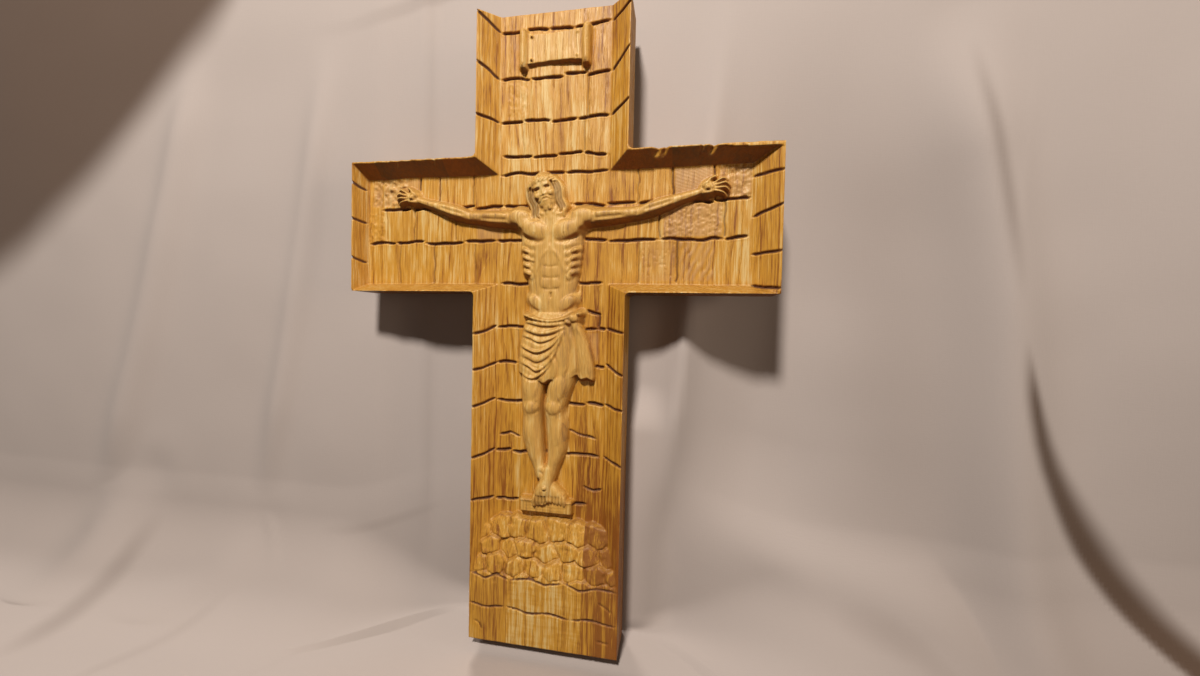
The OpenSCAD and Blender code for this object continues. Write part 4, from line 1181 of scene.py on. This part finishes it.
class Bench:
    """Builds one material."""

    def __init__(self, name):
        self.material = bpy.data.materials.new(name)
        self.material.use_nodes = True
        self.tree = self.material.node_tree
        self.tree.nodes.clear()

    def node(self, kind, settings=None, inputs=None, output=0):
        made = self.tree.nodes.new(kind)
        for key, value in (settings or {}).items():
            if key == "stops":
                ramp = made.color_ramp
                while len(ramp.elements) < len(value):
                    ramp.elements.new(0.5)
                for element, (place, tone) in zip(ramp.elements, value):
                    element.position = place
                    element.color = (*tone, 1.0)
            else:
                setattr(made, key, value)
        for key, value in (inputs or {}).items():
            socket = made.inputs[key]
            if isinstance(value, Wire):
                self.tree.links.new(value.socket, socket)
            elif isinstance(value, (tuple, list)) and len(value) == 3 and socket.type == "RGBA":
                socket.default_value = (*value, 1.0)
            else:
                socket.default_value = value
        return Wire(self, made.outputs[output]) if len(made.outputs) else None

    def mix(self, share, first, second):
        """A mix of two colours; sockets 0, 6 and 7 are its share and its colours."""
        settings = {"data_type": "RGBA", "blend_type": "MIX", "clamp_factor": True}
        return self.node("ShaderNodeMix", settings, {0: share, 6: first, 7: second}, output=2)

    def place(self, sx=1.0, sy=1.0, sz=1.0, add=(0.0, 0.0, 0.0)):
        """The place on the object in millimetres, stretched and shifted."""
        start = self.node("ShaderNodeTexCoord", output=3)
        return self.node("ShaderNodeVectorMath", {"operation": "MULTIPLY_ADD"},
                         {0: start, 1: (1000 * sx, 1000 * sy, 1000 * sz), 2: add})

    def noise(self, size, shift, detail, rough, colour=False):
        """Noise whose marks have this size in millimetres along x, y and z."""
        place = self.place(1 / size[0], 1 / size[1], 1 / size[2], shift)
        return self.node("ShaderNodeTexNoise", {"noise_dimensions": "3D"},
                         {"Vector": place, "Scale": 1.0, "Detail": detail, "Roughness": rough},
                         output=1 if colour else 0)

    def grain(self, across, along, shift, detail, rough, colour=False):
        return self.noise((across, across, along), shift, detail, rough, colour)

    def axes(self, vector):
        parts = self.node("ShaderNodeSeparateXYZ", None, {0: vector})
        return [Wire(self, socket) for socket in parts.socket.node.outputs]

    def attribute(self, name):
        settings = {"attribute_type": "GEOMETRY", "attribute_name": name}
        return self.node("ShaderNodeAttribute", settings, output=2)

    def bump(self, height, distance, strength):
        return self.node("ShaderNodeBump", None,
                         {"Height": height, "Distance": distance, "Strength": strength})

    def finish(self, **sockets):
        inputs = {key.replace("_", " ").title(): value for key, value in sockets.items()}
        shader = self.node("ShaderNodeBsdfPrincipled", None, inputs)
        self.node("ShaderNodeOutputMaterial", None, {"Surface": shader})
        return self.material


def ash_material(name, ring_x, ring_y, spacing, tone, foot, seed, wood):
    """Oiled ash, whose growth rings are circles round a middle behind the board."""
    b = Bench(name)
    shift = (seed * 13.1, seed * 7.7, seed * 3.3)
    warp = b.grain(26, 150, shift, 1.5, 0.5, colour=True)
    warp_x, warp_y = b.axes(warp)[:2]
    x, y, z = b.axes(b.place())
    wiggle = b.grain(3.5, 45, shift, 2.0, 0.6)
    dx = x - ring_x + (warp_x - 0.5) * 15.0
    dy = y - ring_y + (warp_y - 0.5) * 15.0
    radius = (dx * dx + dy * dy).sqrt() + (wiggle - 0.5) * 0.8
    drift = b.node("ShaderNodeTexNoise", {"noise_dimensions": "1D"},
                   {"W": radius / 9.0 + seed * 5, "Scale": 1.0, "Detail": 1.0})
    ring = radius / spacing + drift * 2.4
    share = ring.part()
    chance = b.node("ShaderNodeTexWhiteNoise", {"noise_dimensions": "1D"}, {"W": ring.floor() + seed * 31})
    strength = chance * 0.7 + 0.3
    early = share.between(0.06, 0.50, 1.0, 0.0) * share.between(0.0, 0.06) * strength
    late = share.between(0.60, 0.97) * strength
    fine = b.grain(0.62, 15, shift, 2.0, 0.6).between(0.34, 0.66)
    band = b.grain(2.1, 36, shift, 2.0, 0.55).between(0.34, 0.66)
    slow = b.grain(30, 90, shift, 2.0, 0.5)
    blotch = b.grain(7, 22, shift, 2.0, 0.55)
    pores = b.grain(0.40, 5.5, shift, 2.0, 0.55).between(0.52, 0.66)
    middle = z.between(20.0, 110.0) * z.between(250.0, 330.0, 1.0, 0.0)
    curl = b.grain(15, 2.3, shift, 1.0, 0.5).between(0.42, 0.60)
    # the z terms make the wood darker in a band through the middle of the height and darker towards the
    # top; the darkening at the top is painted shade against the main lamp, which is nearest there
    depth = (fine * 0.36 + band * 0.30 + early * 0.46 + late * 0.18
             + (slow - 0.5) * 0.95 + (blotch - 0.5) * 0.8
             + middle * 0.16 + z.between(280.0, 400.0) * 0.17 + tone * 0.5
             + z.between(50.0, 150.0, 1.0, 0.0) * foot
             + curl * z.between(30.0, 80.0, 1.0, 0.0) * max(0.16 - foot * 0.6, 0.0)
             + b.attribute("tint") * 0.2 - 0.18)
    pale, honey, brown = (tuple(v) for v in (wood.light_tone, wood.mid_tone, wood.grain_tone))
    amber = tuple(0.62 * v + 0.38 * w for v, w in zip(honey, brown))
    stops = [(0.0, pale), (0.38, honey), (0.72, amber), (1.0, brown)]
    body = b.node("ShaderNodeValToRGB", {"stops": stops}, {"Fac": depth})
    body = b.mix(pores * (early * 0.8 + 0.1) * 0.75, body, brown)
    body = b.mix(b.attribute("tint"), body, (0.61, 0.355, 0.158))  # dusty faces of single blocks
    body = b.mix(b.attribute("figure") * 0.32, body, pale)
    # the hollows are painted darker: painted shade, with oil gathered there
    oil_and_shade_in_hollows = tuple(0.5 * v + 0.5 * w for v, w in zip(amber, brown))
    body = b.mix(b.attribute("cavity") * 0.6, body, oil_and_shade_in_hollows)
    across = b.axes(b.node("ShaderNodeTexCoord", output=1))[2]
    oiled = tuple(0.62 * v for v in amber)
    # end grain drinks more oil
    body = b.mix((across * across).between(0.15, 0.6) * 0.55, body, oiled)
    patchy = (slow * 2.4 + band * 0.35 + fine * 0.15 - 0.98).clamped()
    painted_ceiling_shade = b.mix(patchy, tuple(0.4 * v for v in brown), (0.38, 0.108, 0.015))
    # downward faces such as the arms' ceilings are painted dark brown: painted shade
    body = b.mix((across * -1.0).between(0.3, 0.7) * 0.86, body, painted_ceiling_shade)
    # grooves, creases and cracks are painted dark: gathered oil and painted shade
    groove = b.attribute("groove")
    body = b.mix(groove.between(0.15, 0.9), body, tuple(wood.groove_oil_and_shade))
    rough = wood.roughness + pores * 0.12 + (slow - 0.5) * 0.2 + fine * 0.08 + groove * 0.25
    normal = b.bump(fine * 0.8 + band * 0.4 - pores * (early + 0.25) * 1.4, wood.pore_depth, 0.7)
    return b.finish(base_color=body, roughness=rough, normal=normal, coat_weight=0.03, coat_roughness=0.3)


def zinc_material(name, tone, seed, brushed=0.0):
    b = Bench(name)
    shift = (seed, seed * 2.0, seed * 3.0)
    spangle = b.grain(2.2, 2.2, shift, 3.0, 0.6)
    smear = b.grain(9, 9, shift, 2.0, 0.5)
    scratch = b.grain(0.25, 4, shift, 2.0, 0.6)
    dull = b.mix((spangle * 0.9 + smear * 0.5 - 0.45).clamped(), tuple(tone), tuple(0.72 * v for v in tone))
    stain = b.mix(smear.between(0.58, 0.75) * 0.35, dull, (0.42, 0.38, 0.30))
    rough = 0.26 + spangle * 0.2 + scratch * 0.12 * (1 + brushed)
    normal = b.bump(scratch + spangle * 0.5, 0.00003, 0.5)
    return b.finish(base_color=stain, roughness=rough, metallic=1.0, normal=normal)


def cloth_material(name, tone):
    b = Bench(name)
    weave_a = b.grain(0.7, 6, NO_SHIFT, 1.0, 0.5)
    weave_b = b.noise((6, 0.7, 0.7), NO_SHIFT, 1.0, 0.5)
    cloudy = b.grain(160, 220, NO_SHIFT, 3.0, 0.5)
    colour = b.mix((cloudy - 0.42) * 0.7, tuple(tone), tuple(0.86 * v for v in tone))
    colour = b.mix((weave_a * weave_b * 1.1).clamped() * 0.12, colour, tuple(0.7 * v for v in tone))
    colour = b.mix(b.attribute("shade"), colour, (0.16 * tone[0], 0.095 * tone[1], 0.05 * tone[2]))
    normal = b.bump(weave_a + weave_b, 0.00008, 0.4)
    surface = {"Base Color": colour, "Roughness": 0.85, "Sheen Weight": 0.15,
               "Sheen Roughness": 0.5, "Normal": normal}
    shader = b.node("ShaderNodeBsdfPrincipled", None, surface)
    clear = b.node("ShaderNodeBsdfTransparent")
    behind = b.node("ShaderNodeNewGeometry", output=6)
    both = b.node("ShaderNodeMixShader", None, {0: behind, 1: shader, 2: clear})
    b.node("ShaderNodeOutputMaterial", None, {"Surface": both})
    return b.material


# Operators

class CRUCIFIX_OT_staves(bpy.types.Operator):
    """Carve the face of the glued board and cut it into its seven staves"""
    bl_idname = "crucifix.staves"
    bl_label = "Carve the staves"

    def execute(self, context):
        cut, wood = context.scene.crucifix_carving, context.scene.crucifix_ash
        glue = glue_lines()
        xs = spread(sorted(glue + [-HALF_W, HALF_W]), cut.step)
        zs = spread([0.0, LOW_Z - CORNER_R, LOW_Z, TOP_Z, TOP_Z + CORNER_R, BOARD_H], cut.step)
        face = carve(xs, zs, cut)
        for k, (node, slot, *growth) in enumerate(STAVES):
            piece = "carved_" + node[len("stave_"):]
            obj = stave_object(piece, face, glue[k], glue[k + 1], node == "stave_centre")
            obj.data.materials.append(ash_material("ash_" + piece, *growth, wood))
            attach(obj, "board")
            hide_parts(node)
        return {"FINISHED"}


class CRUCIFIX_OT_ring(bpy.types.Operator):
    """Bend the wire ring that the cross hangs on"""
    bl_idname = "crucifix.ring"
    bl_label = "Bend the ring"

    def execute(self, context):
        hang = context.scene.crucifix_hanger
        lo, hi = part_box("hanger_ring")
        r = hang.wire / MM / 2
        half = (hi[0] - lo[0]) / MM / 2 - r
        reach = PIVOT_Z - lo[2] / MM - r
        corner, bend = 1.6, half - reach
        quarter = np.linspace(0, math.pi / 2, 10)[:-1]
        path = [(x, 0.0) for x in np.linspace(corner - half, half - corner, 16)[:-1]]
        path += [(half - corner + corner * math.sin(a), corner * math.cos(a) - corner) for a in quarter]
        path += [(half, z) for z in np.linspace(-corner, bend, 10)[:-1]]
        path += [(half * math.cos(a), bend - half * math.sin(a))
                 for a in np.linspace(0, math.pi, 49)[:-1]]
        path += [(-half, z) for z in np.linspace(bend, -corner, 10)[:-1]]
        path += [(corner - half - corner * math.cos(a), corner * math.sin(a) - corner) for a in quarter]
        obj = tube("hanging_ring", [(x, PIVOT_Y, PIVOT_Z + z) for x, z in path], r)
        obj.data.materials.append(zinc_material("zinc_wire", hang.zinc_tone, 5.0))
        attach(obj, "ring")
        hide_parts("hanger_ring")
        return {"FINISHED"}


class CRUCIFIX_OT_strap(bpy.types.Operator):
    """Plate the strap and its two screws with zinc"""
    bl_idname = "crucifix.strap"
    bl_label = "Plate the strap and screws"

    def execute(self, context):
        tone = context.scene.crucifix_hanger.zinc_tone
        for node, seed in (("hanger_strap", 1.0), ("hanger_screws", 2.0)):
            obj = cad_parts[node]
            obj.data.materials.clear()
            obj.data.materials.append(zinc_material("zinc_" + node, tone, seed, 1.0))
        return {"FINISHED"}


LAMP_AIM = (0.0, 0.0, 0.2)
LAMPS = [  # name, place and diameter in metres, share of the main lamp's power, colour
    ("main_lamp", (-0.079, -0.90, 1.19), 0.17, 1.0, (1.0, 0.95, 0.88)),
    ("front_lamp", (0.3, -1.6, 0.1), 1.2, 0.05, (1.0, 0.76, 0.60)),
    ("side_lamp", (2.2, -0.75, 0.3), 1.0, 0.475, (1.0, 0.82, 0.64)),
    ("back_lamp", (-0.7, 1.1, 0.75), 0.4, 0.70, (1.0, 0.92, 0.84)),
]


class CRUCIFIX_OT_stage(bpy.types.Operator):
    """Hang the cloth, set the lamps and place the camera"""
    bl_idname = "crucifix.stage"
    bl_label = "Set the stage"

    def execute(self, context):
        stage, scene = context.scene.crucifix_stage, context.scene
        cloth = cloth_object()
        cloth.data.materials.append(cloth_material("stage_cloth", stage.cloth_tone))
        cloth.visible_shadow = cloth.visible_diffuse = False

        for name, spot, size, share, tone in LAMPS:
            data = bpy.data.lights.new(name, "AREA")
            data.shape, data.size, data.color = "DISK", size, tone
            data.energy = stage.key_power * share
            lamp = bpy.data.objects.new(name, data)
            scene.collection.objects.link(lamp)
            lamp.location = spot
            if name == "back_lamp":
                data.cycles.max_bounces = 0  # or the back would throw light on the cloth behind it
            lamp.rotation_mode = "QUATERNION"
            lamp.rotation_quaternion = (Vector(LAMP_AIM) - Vector(spot)).to_track_quat("-Z", "Y")

        world = bpy.data.worlds.new("room")
        scene.world = world
        world.use_nodes = True
        tree = world.node_tree
        tree.nodes.clear()
        light = tree.nodes.new("ShaderNodeLightPath")
        plain, seen = tree.nodes.new("ShaderNodeBackground"), tree.nodes.new("ShaderNodeBackground")
        # a warm fill lights the scene, and a pale wall is what the camera sees
        for back, tone, strength in ((plain, (1.0, 0.74, 0.58), stage.fill),
                                     (seen, (0.72, 0.67, 0.63), 1.0)):
            back.inputs[0].default_value = (*tone, 1)
            back.inputs[1].default_value = strength
        pick, out = tree.nodes.new("ShaderNodeMixShader"), tree.nodes.new("ShaderNodeOutputWorld")
        tree.links.new(light.outputs["Is Camera Ray"], pick.inputs[0])
        tree.links.new(plain.outputs[0], pick.inputs[1])
        tree.links.new(seen.outputs[0], pick.inputs[2])
        tree.links.new(pick.outputs[0], out.inputs[0])

        data = bpy.data.cameras.new("camera")
        data.sensor_fit, data.sensor_width = "HORIZONTAL", SENSOR
        data.lens = FOCAL / PICTURE_W * SENSOR
        data.clip_start, data.clip_end = 0.01, 20.0
        camera = bpy.data.objects.new("camera", data)
        scene.collection.objects.link(camera)
        axes = Matrix((Vector(CAMERA_RIGHT), Vector(CAMERA_UP), -Vector(CAMERA_AHEAD)))
        turn = axes.transposed().to_4x4()
        camera.matrix_world = Matrix.Translation(Vector(CAMERA_AT)) @ turn
        scene.camera = camera
        scene.view_settings.view_transform = "Standard"
        return {"FINISHED"}


FOLDS = [  # points (x, z) on the wall in mm, half width, height towards the viewer
    (((-179, 447), (-205, 258), (-239, 84)), 11, 5.5),
    (((-296, 460), (-340, 260), (-396, 72)), 16, 7.0),
    (((-232, 80), (-250, 40), (-276, 4), (-286, -40), (-292, -110)), 20, 7.0),
    (((-340, 110), (-372, 60), (-372, 0), (-360, -60)), 24, 8.0),
    (((236, 430), (255, 321), (266, 243), (274, 126), (287, -20)), 22, 12.0),
    (((76, 88), (170, 84), (237, 65), (282, 5)), 18, 6.0),
    (((-236, 102), (-246, 72), (-233, 45), (-225, 22), (-199, -16), (-180, -60)), 3.5, 1.9),
    (((-237, 90), (-204, 37)), 3.0, 1.4),
    (((57, 99), (77, 46), (70, -11)), 4.0, 1.6),
    (((400, 430), (380, 250), (420, 90)), 40, 10.0),
]
SHADES = [  # points, half width, how dark
    (((241, 420), (260, 321), (271, 243)), 4, 0.35),
    (((150, 66), (219, 52), (254, 12), (290, -20)), 15, 0.28),
    (((-210, 76), (-60, 80)), 5, 0.16),
    (((-318, 90), (-338, 52), (-326, 10), (-312, -20), (-300, -60)), 13, 0.34),
    (((-226, 70), (-230, 45), (-236, -28), (-232, -90)), 9, 0.20),
    (((-124, 50), (-131, 20), (-154, -18), (-170, -70)), 8, 0.14),
    (((200, 400), (216, 220), (222, 60)), 38, 0.16),
]
CORNER_LINE = ((-235, 520), (-275, 457), (-329, 407), (-393, 345), (-461, 292), (-540, 243),
               (-900, 60))
GAP_LINE = ((457, -90), (387, 10), (322, 86), (289, 145), (275, 190), (269, 250))

# how far the cloth behind the arms stands forward or lies back, in millimetres
FOLD_HIGH, FOLD_HALF, HOLLOW_DEEP, LEFT_STEP = 10.8, 11.0, 14.0, 4.0


def from_line(u, v, points):
    """Distance from a smooth line through the points."""
    p = curve(points, 12)
    d = np.full(u.shape, 1e9)
    for (x0, z0), (x1, z1) in zip(p[:-1], p[1:]):
        ex, ez = x1 - x0, z1 - z0
        t = np.clip(((u - x0) * ex + (v - z0) * ez) / max(ex * ex + ez * ez, 1e-9), 0, 1)
        d = np.minimum(d, np.hypot(u - x0 - t * ex, v - z0 - t * ez))
    return d


def ribbon(u, v, points, wide, high):
    """A soft ribbon along a line, which fades out at its ends."""
    fade = min(0.4 * math.dist(points[0], points[-1]), 90)
    for end in (points[0], points[-1]):
        high = high * smooth_step(0, fade, np.hypot(u - end[0], v - end[1]))
    return high * np.exp(-(from_line(u, v, points) / wide) ** 2)


def joined(stretches):
    """Lines over neighbouring stretches, each with its own step."""
    first = [spread([stretches[0][0], stretches[0][1]], stretches[0][2])]
    return np.concatenate(first + [spread([a, b], step)[1:] for a, b, step in stretches[1:]])


def cloth_object():
    """Pale cloth that hangs behind the cross, with soft folds, and runs out under its foot."""
    # fine where the camera sees its folds, and coarse further out
    us = joined(((-1300.0, -620.0, 20), (-620.0, 200.0, 4.5), (200.0, 460.0, 2.0), (460.0, 1300.0, 20)))
    vs = joined(((-1100.0, -160.0, 20), (-160.0, 260.0, 2.6), (260.0, 560.0, 4.5), (560.0, 1300.0, 20)))
    u, v = np.meshgrid(us, vs)
    aside = smooth_step(60, 170, np.abs(u))
    turn, wall = 11 + 45 * aside, 25.5
    bend = np.clip(v / turn, 0, math.pi / 2)
    y = wall - turn + turn * np.sin(bend) + np.minimum(v, 0)
    y = y - 22 * aside * np.clip(1 - v / 110, 0, 1) ** 1.3
    z = turn - turn * np.cos(bend) + np.maximum(v - turn * math.pi / 2, 0)
    lift = np.zeros(u.shape)
    for fold in FOLDS:
        lift = np.maximum(lift, ribbon(u, v, *fold))
    lift += 2.0 * (1 + noise(u, v, 120, 4)) + 0.5 * noise(u, v, 40, 5)
    lift *= 1 - 0.6 * np.exp(-(u / 150) ** 4) * (v < 450)
    lift = np.where(v > 0, lift * smooth_step(0, 14, v), 0)
    # behind the right arm it stands up in one narrow fold and then falls into a wide hollow
    crest = u - 84 + 0.103 * (202 - v)
    fold = FOLD_HIGH * np.exp(-(np.abs(crest) / FOLD_HALF) ** 1.4)
    hollow = HOLLOW_DEEP * smooth_step(0, 56, crest) * np.clip((175 - crest) / 100, 0, 1)
    y = y - lift + (hollow - fold) * smooth_step(60, 160, v) * smooth_step(460, 250, v)
    # it lies close to the back left of the upright and beside its lower part
    beside = smooth_step(80, 56, u) * smooth_step(-66, -50, u)
    y = y - 10 * beside * smooth_step(172, 140, v) * smooth_step(-2, 16, v)
    # and it comes forward in two small steps towards the end of the left arm
    steps = smooth_step(-96, -105, u) + smooth_step(-112, -142, u)
    y = y - LEFT_STEP * steps * smooth_step(20, 110, v)
    z = z + np.where(v < 0, 5 * aside * smooth_step(0, 60, -v) * (1 + noise(u, v, 90, 8)), 0)
    z = z - np.clip((BACK_Y - y) / 26, 0, 1) * 8 * (v < 0) * (1 - aside)  # the foot sinks in
    shade = np.zeros(u.shape)
    for band in SHADES:
        shade = np.maximum(shade, ribbon(u, v, *band))
    # past a line across its upper left corner the cloth is painted nearly black: painted shade
    line = curve(CORNER_LINE, 12)
    order = np.argsort(line[:, 0])
    over = v - np.interp(u, line[order, 0], line[order, 1], right=2000.0)
    shade = np.maximum(shade, 0.92 * smooth_step(-6, 46, over))
    # low on the right, beside a fold, a dark gap is painted, wider towards its foot: painted shade
    line = curve(GAP_LINE, 12)
    order = np.argsort(line[:, 1])
    over = u - np.interp(v, line[order, 1], line[order, 0])
    wide = np.interp(v, (-60, 30, 120, 240), (60, 46, 30, 3))
    gap = smooth_step(-4, 6, over) * smooth_step(1.0, 0.35, over / wide) * smooth_step(240, 196, v)
    shade = np.maximum(shade, 0.96 * gap)
    # the floor and the low right of the cloth are painted darker: painted shade
    low_right = smooth_step(170, 290, u) * smooth_step(140, 30, v)
    shade = np.maximum(shade, 0.12 * smooth_step(115, 40, v) + 0.22 * low_right)
    verts = np.stack([u, y, z], -1).reshape(-1, 3) * MM
    index = np.arange(u.size).reshape(u.shape)
    faces = np.stack([index[:-1, :-1], index[:-1, 1:], index[1:, 1:], index[1:, :-1]], -1).reshape(-1, 4)
    obj = new_object("stage_cloth", verts.tolist(), faces.tolist(), np.ones(len(faces), bool))
    layer = obj.data.attributes.new("shade", "FLOAT", "POINT")
    layer.data.foreach_set("value", shade.ravel().astype(np.float32))
    return obj


# Sidebar

class CRUCIFIX_PT_sidebar(bpy.types.Panel):
    """The crucifix's settings and steps"""
    bl_label = "Crucifix"
    bl_idname = "CRUCIFIX_PT_sidebar"
    bl_space_type = "VIEW_3D"
    bl_region_type = "UI"
    bl_category = "Crucifix"

    def draw(self, context):
        for title, name in GROUPS:
            box = self.layout.box()
            box.label(text=title)
            for key in getattr(context.scene, name).__annotations__:
                box.prop(getattr(context.scene, name), key)
        for step in STEPS:
            self.layout.operator(step)


GROUPS = [("Ash", "crucifix_ash"), ("Carving", "crucifix_carving"),
          ("Hanger", "crucifix_hanger"), ("Stage", "crucifix_stage")]
SETTINGS = [AshSettings, CarvingSettings, HangerSettings, StageSettings]
STEPS = ["crucifix.staves", "crucifix.ring", "crucifix.strap", "crucifix.stage"]
CLASSES = SETTINGS + [CRUCIFIX_OT_staves, CRUCIFIX_OT_ring, CRUCIFIX_OT_strap, CRUCIFIX_OT_stage,
                      CRUCIFIX_PT_sidebar]


def register():
    for made in CLASSES:
        bpy.utils.register_class(made)
    for (_, name), made in zip(GROUPS, SETTINGS):
        setattr(bpy.types.Scene, name, bpy.props.PointerProperty(type=made))


def unregister():
    for _, name in GROUPS:
        delattr(bpy.types.Scene, name)
    for made in reversed(CLASSES):
        bpy.utils.unregister_class(made)


def main():
    register()
    bpy.ops.crucifix.staves()
    bpy.ops.crucifix.ring()
    bpy.ops.crucifix.strap()
    bpy.ops.crucifix.stage()


if __name__ == "__main__":
    main()
